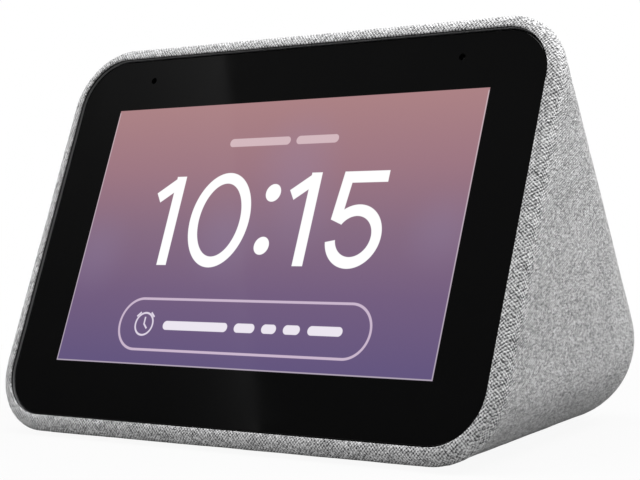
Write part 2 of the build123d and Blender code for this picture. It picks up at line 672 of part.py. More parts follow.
with BuildPart() as chassis:
    with BuildSketch(Plane.XY.offset(BASE_PLUG_TOP)) as deck:
        base_outline(5.0)
        fillet(deck.vertices(), 4.0)
        with Locations((0, -8.0)):
            RectangleRounded(30.0, 24.0, 3.0, mode=Mode.SUBTRACT)
    extrude(amount=CHASSIS_T)
    with BuildSketch(Plane.XY.offset(BASE_PLUG_TOP)):
        with Locations(*base_screw_points[:2]):
            Circle(POST_R)
    extrude(amount=FRONT_POST_TOP - BASE_PLUG_TOP)
    with BuildSketch(Plane.XY.offset(BASE_PLUG_TOP)):
        with Locations(*base_screw_points[2:]):
            Circle(POST_R)
    extrude(amount=port_board_bottom - BASE_PLUG_TOP)
    add(shanks(base_seat, flipped(base_screw_points), BASE_SCREW_L), mode=Mode.SUBTRACT)
    add(shanks(Plane.XY.offset(port_board_top), base_screw_points[2:], PORT_SCREW_L),
        mode=Mode.SUBTRACT)
save(chassis, "chassis")

# ---- rear connector panel --------------------------------------------------------------------
port_board_front_y, port_board_back_y = 6.0, panel_y - PANEL_T - 0.4

with BuildPart() as port_board:
    with BuildSketch(Plane.XY.offset(port_board_bottom)):
        with Locations((0, (port_board_front_y + port_board_back_y) / 2)):
            Rectangle(54.0, port_board_back_y - port_board_front_y)
        with Locations((-JACK_X, port_board_back_y - 5.0)):
            Rectangle(JACK_BODY, 14.0, mode=Mode.SUBTRACT)
        with Locations(*base_screw_points[2:]):
            Circle(SCREW_R, mode=Mode.SUBTRACT)
    extrude(amount=BOARD_T)
save(port_board, "port_board")

with BuildPart() as port_board_screws:
    add(screws(Plane.XY.offset(port_board_top), base_screw_points[2:], PORT_SCREW_L))
save(port_board_screws, "port_board_screws")

MUTE_W, MUTE_H, MUTE_SWITCH_L = 4.6, 2.6, 3.6
SLIDER_GAP, SLIDER_T = 0.35, 0.9              # the slider's wide back, behind the panel
slider_back_y = panel_y - PANEL_T - SLIDER_GAP - SLIDER_T
with BuildPart() as rear_panel:
    with BuildSketch(panel_face):
        RectangleRounded(PANEL_W, PANEL_H, 3.0)
        with Locations((USB_X, 0)):
            RectangleRounded(USB_W, USB_H, 0.5, mode=Mode.SUBTRACT)
        with Locations((JACK_X, 0)):
            Circle(JACK_BORE_R + 0.2, mode=Mode.SUBTRACT)
        with Locations((MUTE_X - MUTE_TRAVEL / 2, 0)):
            RectangleRounded(MUTE_W + MUTE_TRAVEL + 0.6, MUTE_H + 0.6, 0.5, mode=Mode.SUBTRACT)
    extrude(amount=-PANEL_T)
save(rear_panel, "rear_panel")

with BuildPart() as usb_shell:
    with BuildSketch(panel_face):
        with Locations((USB_X, 0)):
            RectangleRounded(USB_W, USB_H, 0.5)
    extrude(amount=-USB_L)
    with BuildSketch(panel_face):
        with Locations((USB_X, 0)):
            RectangleRounded(USB_W - 2 * USB_T, USB_H - 2 * USB_T, 0.2)
    extrude(amount=-(USB_L - 0.6), mode=Mode.SUBTRACT)
save(usb_shell, "usb_shell")

with BuildPart() as usb_tongue:
    with BuildSketch(panel_face.offset(-1.2)):
        with Locations((USB_X, 0.85)):
            Rectangle(11.2, 1.8)
    extrude(amount=-(USB_L - 1.8))
save(usb_tongue, "usb_tongue")

with BuildPart() as dc_jack:
    with BuildSketch(panel_face.offset(-PANEL_T)):
        with Locations((JACK_X, 0)):
            RectangleRounded(JACK_BODY, JACK_BODY, 0.6)
    extrude(amount=-JACK_L)
    with BuildSketch(panel_face.offset(-PANEL_T)):
        with Locations((JACK_X, 0)):
            Circle(JACK_BORE_R)
            Circle(JACK_PIN_R, mode=Mode.SUBTRACT)
    extrude(amount=-(JACK_L - 1.6), mode=Mode.SUBTRACT)
save(dc_jack, "dc_jack")

with BuildPart() as mute_slider:
    with BuildSketch(panel_face.offset(1.0)):
        with Locations((MUTE_X, 0)):
            RectangleRounded(MUTE_W, MUTE_H, 0.4)
    extrude(amount=-(1.0 + PANEL_T + SLIDER_GAP))
    with BuildSketch(panel_face.offset(-PANEL_T - SLIDER_GAP)):
        with Locations((MUTE_X, 0)):
            Rectangle(9.0, 4.2)
    extrude(amount=-SLIDER_T)
save(mute_slider, "mute_slider")

with BuildPart() as mute_switch:
    with BuildSketch(Plane.XY.offset(port_board_top)):
        with Locations((-MUTE_X + MUTE_TRAVEL / 2, slider_back_y - 0.3 - MUTE_SWITCH_L / 2)):
            Rectangle(8.0, MUTE_SWITCH_L)
    extrude(amount=4.4)
save(mute_switch, "mute_switch")

ribbon_z = port_board_top + 0.9
with BuildPart() as port_ribbon:
    start = screen.from_local_coords((PORT_RIBBON_X, -14.0, -board_back - 0.7))
    with BuildSketch(Plane(origin=(PORT_RIBBON_X, 0, 0), x_dir=(0, 1, 0), z_dir=(1, 0, 0))):
        with BuildLine():
            Polyline((start.Y, start.Z), (start.Y + 6.0, start.Z - 2.4), (2.0, ribbon_z + 1.6),
                     (port_board_front_y + 1.0, ribbon_z), (port_board_front_y + 6.0, ribbon_z))
        trace(line_width=0.3)
    extrude(amount=5.0, both=True)
save(port_ribbon, "port_ribbon")

# ---- housing and knitted cover ---------------------------------------------------------------
BOSS_R, FRAME_BOSS_L = 2.4, 9.0
GRILLE_HOLE_R, GRILLE_PITCH = 1.1, 3.6

with BuildPart() as rear_housing:
    add(shell_form)
    add(cavity_form, mode=Mode.SUBTRACT)
    split(bisect_by=screen.offset(-SPLIT_DEPTH), keep=Keep.BOTTOM)
    with BuildSketch(screen.offset(-SPLIT_DEPTH)):
        with Locations(*frame_screw_points):
            Circle(BOSS_R)
    extrude(amount=-FRAME_BOSS_L)
    with BuildSketch(slope.offset(-LUG_TOP)):
        with Locations(*speaker_lugs):
            Circle(BOSS_R)
    extrude(amount=LUG_TOP - FABRIC - 0.5)
    with BuildSketch(slope.offset(-SWITCH_BOARD_TOP)):
        with Locations(*post_points):
            Circle(1.4)
    extrude(amount=SWITCH_BOARD_TOP - FABRIC - 0.5)
    add(shanks(screen.offset(-frame_screw_seat), frame_screw_points, FRAME_SCREW_L),
        mode=Mode.SUBTRACT)
    add(shanks(slope.offset(-INNER - 0.5), speaker_lugs, LUG_TOP), mode=Mode.SUBTRACT)
    with BuildSketch(Plane.XY) as hatch:
        base_outline(HOUSING_LEDGE)
        fillet(hatch.vertices(), BASE_R - HOUSING_LEDGE)
    extrude(amount=BASE_PLUG_TOP, mode=Mode.SUBTRACT)
    with BuildSketch(panel_face.offset(PANEL_SET_BACK)):
        RectangleRounded(PANEL_W, PANEL_H, 3.0)
    extrude(amount=-6.0, mode=Mode.SUBTRACT)
    with BuildSketch(slope):
        with Locations(*button_points):
            Circle(BUTTON_D / 2 + BUTTON_GAP)
    extrude(amount=-FLANGE_TOP, mode=Mode.SUBTRACT)
    with BuildSketch(slope):
        with Locations((0, BOX_MID)):
            with HexLocations(GRILLE_PITCH / math.sqrt(3), 7, 6):
                Circle(GRILLE_HOLE_R)
    extrude(amount=-INNER, mode=Mode.SUBTRACT)
save(rear_housing, "rear_housing")

with BuildPart() as fabric_cover:
    add(outer_form)
    add(shell_form, mode=Mode.SUBTRACT)
    with BuildSketch(screen):
        RectangleRounded(GLASS_W + 2 * GLASS_GAP, GLASS_H + 2 * GLASS_GAP, GLASS_R + GLASS_GAP)
    extrude(amount=-FABRIC, mode=Mode.SUBTRACT)
    with BuildSketch(Plane.XY) as hem:
        base_outline(0)
        fillet(hem.vertices(), BASE_R)
    extrude(amount=BASE_PLUG_TOP, mode=Mode.SUBTRACT)
    with BuildSketch(panel_face.offset(PANEL_SET_BACK)):
        RectangleRounded(PANEL_W, PANEL_H, 3.0)
    extrude(amount=-6.0, mode=Mode.SUBTRACT)
    with BuildSketch(slope):
        with Locations(*button_points):
            Circle(BUTTON_D / 2 + BUTTON_GAP)
    extrude(amount=-FLANGE_TOP, mode=Mode.SUBTRACT)
save(fabric_cover, "fabric_cover")
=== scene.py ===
# %% [markdown]
# A small smart display: a wedge wrapped in grey melange knit, with a tilted glass screen
# sunk into its front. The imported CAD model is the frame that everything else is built
# round, so it comes in first. Its parts are never moved: here they get their finishes, and
# the one soft part, the knit cover, is made again as cloth.

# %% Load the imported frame
import json
import math

import bpy
from mathutils import Matrix, Vector


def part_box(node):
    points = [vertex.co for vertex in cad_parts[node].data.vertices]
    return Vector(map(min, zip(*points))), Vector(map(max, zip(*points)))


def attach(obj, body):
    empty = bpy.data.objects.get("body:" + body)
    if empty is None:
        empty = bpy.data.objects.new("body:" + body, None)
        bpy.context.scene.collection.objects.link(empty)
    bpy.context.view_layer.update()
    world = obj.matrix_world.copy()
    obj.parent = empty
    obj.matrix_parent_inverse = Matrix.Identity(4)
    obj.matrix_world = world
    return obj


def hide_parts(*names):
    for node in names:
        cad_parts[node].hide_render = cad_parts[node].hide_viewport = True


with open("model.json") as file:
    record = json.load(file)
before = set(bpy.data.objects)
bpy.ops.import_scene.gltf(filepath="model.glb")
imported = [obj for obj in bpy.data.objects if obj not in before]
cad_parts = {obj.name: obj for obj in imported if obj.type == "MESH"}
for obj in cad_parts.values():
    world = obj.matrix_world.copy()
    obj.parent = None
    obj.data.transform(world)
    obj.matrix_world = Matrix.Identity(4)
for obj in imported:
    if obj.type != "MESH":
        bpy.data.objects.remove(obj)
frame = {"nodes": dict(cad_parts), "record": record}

bpy.ops.object.select_all(action="DESELECT")
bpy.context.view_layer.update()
SLOT_OF = {part["node"]: part["material_slot"] for part in frame["record"]["subparts"]}

# %% [markdown]
# The screen leans back, so most places are easiest to give on its own axes: across, rise
# (up the screen) and depth (into the body). The middle of the picture gives the origin.
# A matrix turns places on those axes into the object's own, and its inverse reads them back.

# %% The screen's own axes
MM = 0.001
TILT = math.radians(21.3)
GLASS_SET_BACK = 0.8 * MM
GLASS_THICK = 1.1 * MM
PANEL_THICK = 1.4 * MM

outward = Vector((0, -math.cos(TILT), math.sin(TILT)))
rise_way = Vector((0, math.sin(TILT), math.cos(TILT)))
panel_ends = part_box("lcd_panel")
panel_depth = GLASS_SET_BACK + GLASS_THICK + PANEL_THICK / 2
screen_origin = (panel_ends[0] + panel_ends[1]) / 2 + outward * panel_depth


def frame_at(origin, across, up, out):
    """A matrix whose columns are a place's own axes: across, up and outwards."""
    turn = Matrix((across, up, out)).transposed()
    return Matrix.Translation(origin) @ turn.to_4x4()


ACROSS = Vector((1, 0, 0))
SCREEN = frame_at(screen_origin, ACROSS, rise_way, outward)
print("screen middle:", [round(v / MM, 2) for v in screen_origin])

# %% [markdown]
# The camera stands to the right of the front, level with the middle of the body. A long
# lens from there gives the gentle narrowing towards the back. Its turn could be set with a
# Track To constraint, but written as its own right and up directions it can't drift.

# %% Camera
camera = bpy.data.objects.new("camera", bpy.data.cameras.new("camera"))
bpy.context.scene.collection.objects.link(camera)
CAMERA_AT = Vector((0.19833, -0.26870, 0.04131))
camera_right = Vector((0.79440, 0.60723, -0.01407)).normalized()
camera_up = Vector((0.00177, 0.02085, 0.99978)).normalized()
camera.matrix_world = frame_at(CAMERA_AT, camera_right, camera_up, camera_right.cross(camera_up))
camera.data.lens = 97.26
camera.data.sensor_width = 36.0
camera.data.clip_start = 0.01
bpy.context.scene.camera = camera
bpy.context.scene.view_settings.view_transform = "Standard"
print("camera:", round((CAMERA_AT - screen_origin).length, 3), "m from the screen")

# %% [markdown]
# Selecting by hand is done with the mouse; a script selects by place. These helpers leave
# exactly the faces or edges that pass a test selected, in edit mode, ready for an operator.

# %% Selecting by place
def edit(obj, mode="FACE"):
    """Goes into edit mode on one object, with nothing selected."""
    if bpy.context.mode != "OBJECT":
        bpy.ops.object.mode_set(mode="OBJECT")
    bpy.ops.object.select_all(action="DESELECT")
    bpy.context.view_layer.objects.active = obj
    obj.select_set(True)
    bpy.ops.object.mode_set(mode="EDIT")
    bpy.ops.mesh.select_mode(type=mode)
    bpy.ops.mesh.select_all(action="DESELECT")


def pick(obj, test, mode="FACE"):
    """Selects the faces (or edges) whose middle, and direction, pass the test."""
    edit(obj, mode)
    bpy.ops.object.mode_set(mode="OBJECT")
    mesh = obj.data
    if mode == "FACE":
        for face in mesh.polygons:
            face.select = test(face.center, face.normal)
    else:
        for edge in mesh.edges:
            a, b = (mesh.vertices[i].co for i in edge.vertices)
            edge.select = test((a + b) / 2, (b - a).normalized())
    bpy.ops.object.mode_set(mode="EDIT")


def done(obj):
    """Back to object mode, with the object's place moved into its mesh."""
    bpy.ops.object.mode_set(mode="OBJECT")
    bpy.ops.object.transform_apply(location=True, rotation=True, scale=True)
    return obj


def place(obj, matrix):
    """Moves a piece that was modelled at the origin to its own axes."""
    obj.data.transform(matrix)
    obj.data.update()
    return obj


def apply_all(obj):
    """Applies every modifier, from the top down."""
    bpy.context.view_layer.objects.active = obj
    for modifier in list(obj.modifiers):
        bpy.ops.object.modifier_apply(modifier=modifier.name)
    return obj

# %% [markdown]
# A rounded block is a cube with its upright edges bevelled. It is the start of the body's
# front rim, and also of the cutters that open the knit for the glass and the connectors. A
# second helper grows its top in steps, each a little wider, which makes a rolled lip.

# %% A rounded block
def rounded_block(name, width, height, low, high, radius, segments=14):
    """A block that stands from low to high, with its upright edges rounded."""
    bpy.ops.mesh.primitive_cube_add(size=1, location=(0, 0, 0))
    block = bpy.context.object
    block.name = name
    block.data.transform(Matrix.Diagonal((width, height, high - low, 1)))
    block.data.transform(Matrix.Translation((0, 0, (low + high) / 2)))
    pick(block, lambda middle, way: abs(way.z) > 0.9, "EDGE")
    bpy.ops.mesh.bevel(offset=radius, segments=segments, profile=0.5, affect="EDGES")
    return done(block)


def grow_top(block, width, height, steps):
    """Extrudes the block's top face upwards, widening it at each (rise, spread) step."""
    top = max(v.co.z for v in block.data.vertices)
    pick(block, lambda middle, normal: normal.z > 0.9 and middle.z > top - 1e-6)
    spread_now = 0.0
    for rise, spread in steps:
        grow_x = (width + 2 * spread) / (width + 2 * spread_now)
        grow_y = (height + 2 * spread) / (height + 2 * spread_now)
        bpy.ops.mesh.extrude_region_move(TRANSFORM_OT_translate={"value": (0, 0, rise)})
        bpy.ops.transform.resize(value=(grow_x, grow_y, 1), center_override=(0, 0, 0))
        spread_now = spread
    return done(block)

# %% [markdown]
# The cover is one sheet of knit pulled tight over the housing, so its shape is what a tight
# skin makes: the smallest form that holds the front rim and the round back bar together. It
# could be lofted wall by wall, but the convex hull of a rounded plate and a capsule is that
# skin, with no seams to close.

# %% The wedge that the knit is stretched over
WIDTH = 113.5 * MM
FRONT_TOP = 39.6 * MM
FRONT_BOTTOM = 39.7 * MM
CORNER_R = 12.7 * MM
RIM_ROUND = 2.1 * MM
BACK_R = 15.8 * MM
BACK_HALF_SPAN = 29.6 * MM
BACK_Y = 25.85 * MM
BACK_Z = 16.3 * MM


def wedge(name, inset):
    """The closed wedge, smaller all round by inset."""
    high = FRONT_TOP + FRONT_BOTTOM - 2 * inset
    wide = WIDTH - 2 * inset
    thick = 2 * (RIM_ROUND - inset)
    plate = rounded_block(name, wide, high, -thick, 0, CORNER_R - inset, segments=20)
    pick(plate, lambda middle, way: abs(way.z) < 0.1, "EDGE")
    bpy.ops.mesh.bevel(offset=thick * 0.497, segments=12, profile=0.5, affect="EDGES")
    done(plate)
    place(plate, SCREEN @ Matrix.Translation((0, (FRONT_TOP - FRONT_BOTTOM) / 2, -inset)))

    bpy.ops.mesh.primitive_uv_sphere_add(segments=64, ring_count=32, radius=BACK_R - inset,
                                         rotation=(0, math.pi / 2, 0))
    bar = bpy.context.object
    done(bar)
    for side in (-1, 1):
        pick(bar, lambda middle, normal: middle.x * side > 0)
        bpy.ops.transform.translate(value=(side * BACK_HALF_SPAN, 0, 0))
    done(bar)
    place(bar, Matrix.Translation((0, BACK_Y, BACK_Z)))

    bpy.ops.object.select_all(action="DESELECT")
    bar.select_set(True)
    plate.select_set(True)
    bpy.context.view_layer.objects.active = plate
    bpy.ops.object.join()
    edit(plate)
    bpy.ops.mesh.select_all(action="SELECT")
    bpy.ops.mesh.convex_hull(join_triangles=True)
    return done(plate)


hull = wedge("knit_form", 0.0)
print("wedge:", len(hull.data.polygons), "faces, box",
      [round(v / MM, 1) for v in hull.dimensions])

# %% [markdown]
# A hull has long thin faces, which shade badly and can't wrinkle. A voxel remesh gives even
# small faces, and a shrinkwrap pulls them back onto the true form. A faint cloud texture
# then lifts the cloth by a tenth of a millimetre here and there, as real knit does.

# %% Even faces for the cloth
KNIT_FACE = 0.95 * MM
RIPPLE_SPAN = 11.0 * MM
RIPPLE_LIFT = 0.16 * MM

knit = hull.copy()
knit.data = hull.data.copy()
knit.name = "knit_cover"
bpy.context.scene.collection.objects.link(knit)
remesh = knit.modifiers.new("even", "REMESH")
remesh.mode = "VOXEL"
remesh.voxel_size = KNIT_FACE
snug = knit.modifiers.new("snug", "SHRINKWRAP")
snug.target = hull
ripple = bpy.data.textures.new("cloth_ripple", "CLOUDS")
ripple.noise_scale = RIPPLE_SPAN
lift = knit.modifiers.new("lift", "DISPLACE")
lift.texture = ripple
lift.texture_coords = "LOCAL"
lift.strength = RIPPLE_LIFT
lift.mid_level = 0.5
apply_all(knit)
print("knit:", len(knit.data.polygons), "even faces")

# %% [markdown]
# Pulled round the lower corner, the cloth has one small pucker just behind the rim. The
# faces there are divided finer, then moved: inwards along a short line, and slightly out
# beside it. A bump in the shader would vanish at the edge of the corner; moved faces don't.

# %% The pucker at the corner
PUCKER = [Vector(p) * MM for p in ((54.9, -33.4, -1.8), (52.6, -36.3, -2.4),
                                   (49.4, -38.2, -3.3))]
PUCKER_REACH = 3.2
to_screen = SCREEN.inverted()


def off_pucker(point):
    """Distance to the pucker's line, in millimetres."""
    spot = to_screen @ point
    gaps = []
    for start, end in zip(PUCKER, PUCKER[1:]):
        share = (spot - start).dot(end - start) / (end - start).length_squared
        gaps.append((spot - start.lerp(end, min(1.0, max(0.0, share)))).length / MM)
    return min(gaps)


pick(knit, lambda middle, normal: off_pucker(middle) < PUCKER_REACH)
bpy.ops.mesh.subdivide(number_cuts=2, smoothness=0.0)
done(knit)
moved = 0
for vertex in knit.data.vertices:
    gap = off_pucker(vertex.co)
    if gap < PUCKER_REACH:
        beside = 0.12 * math.exp(-((gap - 1.3) / 0.6) ** 2)
        middle = 0.26 * math.exp(-(gap / 0.5) ** 2)
        vertex.co += vertex.normal * (beside - middle) * MM
        moved += 1
print("pucker:", moved, "points moved")

# %% [markdown]
# The sheet gets its thickness from an inner wall, the same wedge a little smaller with its
# faces turned inwards. Solidify could do this too, but it would carry each ripple and the
# pucker through to the inside; a second wedge keeps the inner wall as smooth as the housing.

# %% Inner wall
KNIT_THICK = 0.66 * MM

lining = wedge("knit_lining", KNIT_THICK)
edit(lining)
bpy.ops.mesh.select_all(action="SELECT")
bpy.ops.mesh.flip_normals()
done(lining)
bpy.ops.object.select_all(action="DESELECT")
lining.select_set(True)
knit.select_set(True)
bpy.context.view_layer.objects.active = knit
bpy.ops.object.join()
print("two walls:", len(knit.data.polygons), "faces,", round(KNIT_THICK / MM, 2), "mm apart")

# %% [markdown]
# The cloth is cut out round the glass and its edge turns in over the frame. The cutter for
# that window is a block that widens upwards in five small steps, so it leaves a rolled lip
# instead of a knife edge. The glass has a thin even gap all round.

# %% The window's cutter
GLASS_GAP = 0.15 * MM
WINDOW_W = 108.0 * MM + 2 * GLASS_GAP
WINDOW_H = 73.7 * MM + 2 * GLASS_GAP
WINDOW_R = 9.6 * MM + GLASS_GAP
LIP_R = 0.2 * MM
LIP_ANGLES = [math.radians(a) for a in (15, 30, 45, 60, 75)]
CUT_DEPTH = 6 * MM

lip_steps = []
lip_height = 0.0
for angle in LIP_ANGLES:
    lip_steps.append((LIP_R * math.sin(angle) - lip_height, LIP_R * (1 - math.cos(angle))))
    lip_height = LIP_R * math.sin(angle)
lip_steps.append((0.1 * MM, LIP_R * 0.9))
lip_steps.append((2.0 * MM, LIP_R * 0.9))

window = rounded_block("window_cutter", WINDOW_W, WINDOW_H, -CUT_DEPTH, -LIP_R, WINDOW_R, 24)
place(grow_top(window, WINDOW_W, WINDOW_H, lip_steps), SCREEN)
print("window:", round(WINDOW_W / MM, 1), "by", round(WINDOW_H / MM, 1), "mm")

# %% [markdown]
# Underneath, a hatch in the cloth lets the base plate and its foot through. It narrows to
# the back as the body does, so one end of a cube is scaled wider before its upright edges
# are rounded.

# %% The hatch's cutter
BASE_FRONT_HALF, BASE_BACK_HALF = 40.0 * MM, 28.5 * MM
BASE_FRONT_Y, BASE_BACK_Y = -34.0 * MM, 18.0 * MM
BASE_R = 9.0 * MM
HATCH_HIGH = 8 * MM

base_long = BASE_BACK_Y - BASE_FRONT_Y
bpy.ops.mesh.primitive_cube_add(size=1, location=(0, 0, 0))
hatch = bpy.context.object
hatch.data.transform(Matrix.Diagonal((2 * BASE_BACK_HALF, base_long, HATCH_HIGH, 1)))
pick(hatch, lambda middle, normal: normal.y < -0.9)
widen = BASE_FRONT_HALF / BASE_BACK_HALF
bpy.ops.transform.resize(value=(widen, 1, 1), center_override=(0, 0, 0))
done(hatch)
pick(hatch, lambda middle, way: abs(way.z) > 0.9, "EDGE")
bpy.ops.mesh.bevel(offset=BASE_R, segments=12, profile=0.5, affect="EDGES")
done(hatch)
place(hatch, Matrix.Translation((0, (BASE_FRONT_Y + BASE_BACK_Y) / 2, -1 * MM)))
print("hatch:", round(base_long / MM, 1), "mm long")

# %% [markdown]
# At the back, the connector panel has a slot with round ends, and on the slope above it two
# round holes let the volume buttons through. Both take their places from the CAD parts, so
# they stay true if the frame changes.

# %% Cutters for the connectors and the buttons
PANEL_SIZE = (62.0 * MM, 13.0 * MM, 3.0 * MM)
BUTTON_HOLE_R = 4.8 * MM
BUTTON_ACROSS = 14.0 * MM
SLOPE_FROM_UP = math.radians(44.26)

panel_low, panel_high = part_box("rear_panel")
panel_middle = (panel_low + panel_high) / 2
PANEL = frame_at(Vector((0, panel_high.y, panel_middle.z)), -ACROSS, Vector((0, 0, 1)),
                 Vector((0, 1, 0)))
slot_wide, slot_tall, slot_corner = PANEL_SIZE
slot_cut = rounded_block("panel_cutter", slot_wide, slot_tall, -CUT_DEPTH, CUT_DEPTH,
                         slot_corner)
place(slot_cut, PANEL)

slope_out = Vector((0, math.sin(SLOPE_FROM_UP), math.cos(SLOPE_FROM_UP)))
slope_down = slope_out.cross(ACROSS)
button_low, button_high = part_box("volume_up_button")
button_holes = []
for side in (-1, 1):
    bpy.ops.mesh.primitive_cylinder_add(vertices=64, radius=BUTTON_HOLE_R, depth=10 * MM)
    hole = done(bpy.context.object)
    middle = (button_low + button_high) / 2
    middle.x = side * BUTTON_ACROSS
    button_holes.append(place(hole, frame_at(middle, ACROSS, slope_down, slope_out)))
print("holes for", len(button_holes), "buttons")

# %% [markdown]
# Booleans open the cloth. The exact solver also joins the outer and the inner wall along
# each cut, so the sheet ends as one closed skin, which the count of open edges proves.

# %% Open the knit
for cutter in [window, hatch, slot_cut, *button_holes]:
    cut = knit.modifiers.new(cutter.name, "BOOLEAN")
    cut.operation = "DIFFERENCE"
    cut.solver = "EXACT"
    cut.object = cutter
apply_all(knit)
for spent in [hull, window, hatch, slot_cut, *button_holes]:
    bpy.data.objects.remove(spent)

bpy.ops.object.select_all(action="DESELECT")
knit.select_set(True)
bpy.context.view_layer.objects.active = knit
bpy.ops.object.shade_smooth_by_angle(angle=math.radians(32))
knit_area = sum(face.area for face in knit.data.polygons)
edge_uses = {}
for face in knit.data.polygons:
    for key in face.edge_keys:
        edge_uses[key] = edge_uses.get(key, 0) + 1
print("knit:", len(knit.data.polygons), "faces,", round(knit_area / 2 * 1e6), "mm2 of cloth,",
      sum(1 for n in edge_uses.values() if n != 2), "open edges")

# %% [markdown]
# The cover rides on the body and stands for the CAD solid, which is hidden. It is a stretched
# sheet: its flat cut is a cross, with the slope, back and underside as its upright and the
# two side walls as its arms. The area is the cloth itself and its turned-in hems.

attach(knit, "body")
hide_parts("fabric_cover")

# %% [markdown]
# Materials are node trees. Wiring them by hand in code is long, so a small helper adds a
# node, fills its sockets with numbers or links, and hands back its output. Lengths inside
# the trees are millimetres, read from Object coordinates, so patterns stay put in any pose.

# %% A helper for node trees
class Finish:
    """One material, built around its Principled shader."""

    def __init__(self, name):
        self.material = bpy.data.materials.new(name)
        self.material.use_nodes = True
        self.tree = self.material.node_tree
        self.shader = self.tree.nodes["Principled BSDF"]
        self.place = self.node("ShaderNodeTexCoord")
        self.mm = self.vector("SCALE", self.place.outputs["Object"], 1000.0)

    def node(self, kind, **settings):
        made = self.tree.nodes.new(kind)
        for key, value in settings.items():
            setattr(made, key, value)
        return made

    def feed(self, socket, value):
        if isinstance(value, bpy.types.NodeSocket):
            self.tree.links.new(value, socket)
        else:
            socket.default_value = value

    def math(self, operation, *values, clamp=False):
        made = self.node("ShaderNodeMath", operation=operation, use_clamp=clamp)
        for socket, value in zip(made.inputs, values):
            self.feed(socket, value)
        return made.outputs[0]

    def vector(self, operation, a, b=None):
        made = self.node("ShaderNodeVectorMath", operation=operation)
        self.feed(made.inputs[0], a)
        if b is not None:
            self.feed(made.inputs["Scale" if operation == "SCALE" else 1], b)
        return made.outputs["Value" if operation in ("DOT_PRODUCT", "LENGTH") else "Vector"]

    def along(self, vector, way):
        """How far a point or normal lies along a direction."""
        return self.vector("DOT_PRODUCT", vector, tuple(way))

    def noise(self, vector, scale, detail=2.0, output=0):
        made = self.node("ShaderNodeTexNoise")
        self.feed(made.inputs["Vector"], vector)
        made.inputs["Scale"].default_value = scale
        made.inputs["Detail"].default_value = detail
        return made.outputs[output]

    def cells(self, vector, scale, output="Color"):
        made = self.node("ShaderNodeTexVoronoi")
        self.feed(made.inputs["Vector"], vector)
        made.inputs["Scale"].default_value = scale
        return made.outputs[output]

    def between(self, value, low, high, out_low=0.0, out_high=1.0, kind="SMOOTHSTEP"):
        made = self.node("ShaderNodeMapRange", interpolation_type=kind)
        for socket, number in zip(made.inputs, (value, low, high, out_low, out_high)):
            self.feed(socket, number)
        return made.outputs[0]

    def mix(self, share, a, b):
        made = self.node("ShaderNodeMix", data_type="RGBA")
        for index, value in ((0, share), (6, a), (7, b)):
            self.feed(made.inputs[index], value)
        return made.outputs[2]

    def bump(self, height, strength, distance):
        made = self.node("ShaderNodeBump")
        made.inputs["Strength"].default_value = strength
        made.inputs["Distance"].default_value = distance
        self.feed(made.inputs["Height"], height)
        self.feed(self.shader.inputs["Normal"], made.outputs[0])

    def set(self, name, value):
        self.feed(self.shader.inputs[name], value)


def shade(red, green, blue):
    """A colour given as it looks on a monitor, 0 to 255, for a shader socket."""
    parts = [c / 255 for c in (red, green, blue)]
    line = [c / 12.92 if c <= 0.04045 else ((c + 0.055) / 1.055) ** 2.4 for c in parts]
    return (*line, 1.0)

# %% [markdown]
# The knit is a plain weave of two yarns, one pale and one charcoal, a third of a millimetre
# apart. A picture of cloth would need an unwrap; here sine ridges along the screen's three
# axes are blended by which way the surface faces, so the threads follow every wall with no
# seam. Random cells stand for the charcoal flecks, and fine noise for the loose fibres; both
# run longer from front to back, as the yarn does. The weave is clearest on the tight rim.
# The cloth's edge that turns in beside the glass is painted black, as painted shade for the
# shadowed recess there.

# %% Knit finish
THREAD = 0.33
THREAD_DRIFT = 0.25
FLECK = 0.29
RIM_DEPTH = (3.6, 6.4)
YARN_PALE, YARN_DARK = (0.80, 0.80, 0.805, 1), (0.05, 0.05, 0.052, 1)
# Painted shade: near-black for the shadowed recess beside the glass.
RECESS_SHADE_BLACK = (0.004, 0.004, 0.004, 1)


def woven(f, threads):
    """Sine ridges that cross, on whichever two of the screen's axes the surface lies along."""
    ways = (ACROSS, rise_way, -outward)
    ridges = [f.math("SINE", f.math("MULTIPLY", f.along(threads, way), math.pi / THREAD))
              for way in ways]
    facing = [f.math("POWER", f.math("ABSOLUTE", f.along(f.place.outputs["Normal"], way)), 4.0)
              for way in ways]
    total = f.math("ADD", f.math("ADD", facing[0], facing[1]), facing[2])
    weave = None
    for k in range(3):
        pair = f.math("MULTIPLY", ridges[(k + 1) % 3], ridges[(k + 2) % 3])
        part = f.math("MULTIPLY", f.math("DIVIDE", facing[k], total), pair)
        weave = part if weave is None else f.math("ADD", weave, part)
    return weave


def recess_shade_mask(f, away, depth):
    """1 on the cloth's edge that turns in beside the glass, where the recess's shade is painted
    black, and 0 on the rest.
    """
    past = [f.math("MAXIMUM", f.math("SUBTRACT", f.math("ABSOLUTE", f.along(away, way)),
                                     (size / 2 - WINDOW_R) / MM), 0.0)
            for way, size in ((ACROSS, WINDOW_W), (rise_way, WINDOW_H))]
    from_corner = f.math("SQRT", f.math("MULTIPLY_ADD", past[0], past[0],
                                        f.math("MULTIPLY", past[1], past[1])))
    in_window = f.between(from_corner, WINDOW_R / MM + 0.1, WINDOW_R / MM + 0.3, 1.0, 0.0)
    below_lip = f.between(depth, 0.2, 0.34)
    above_frame = f.between(depth, 1.5, 1.9, 1.0, 0.0)
    return f.math("MULTIPLY", in_window, f.math("MULTIPLY", below_lip, above_frame))


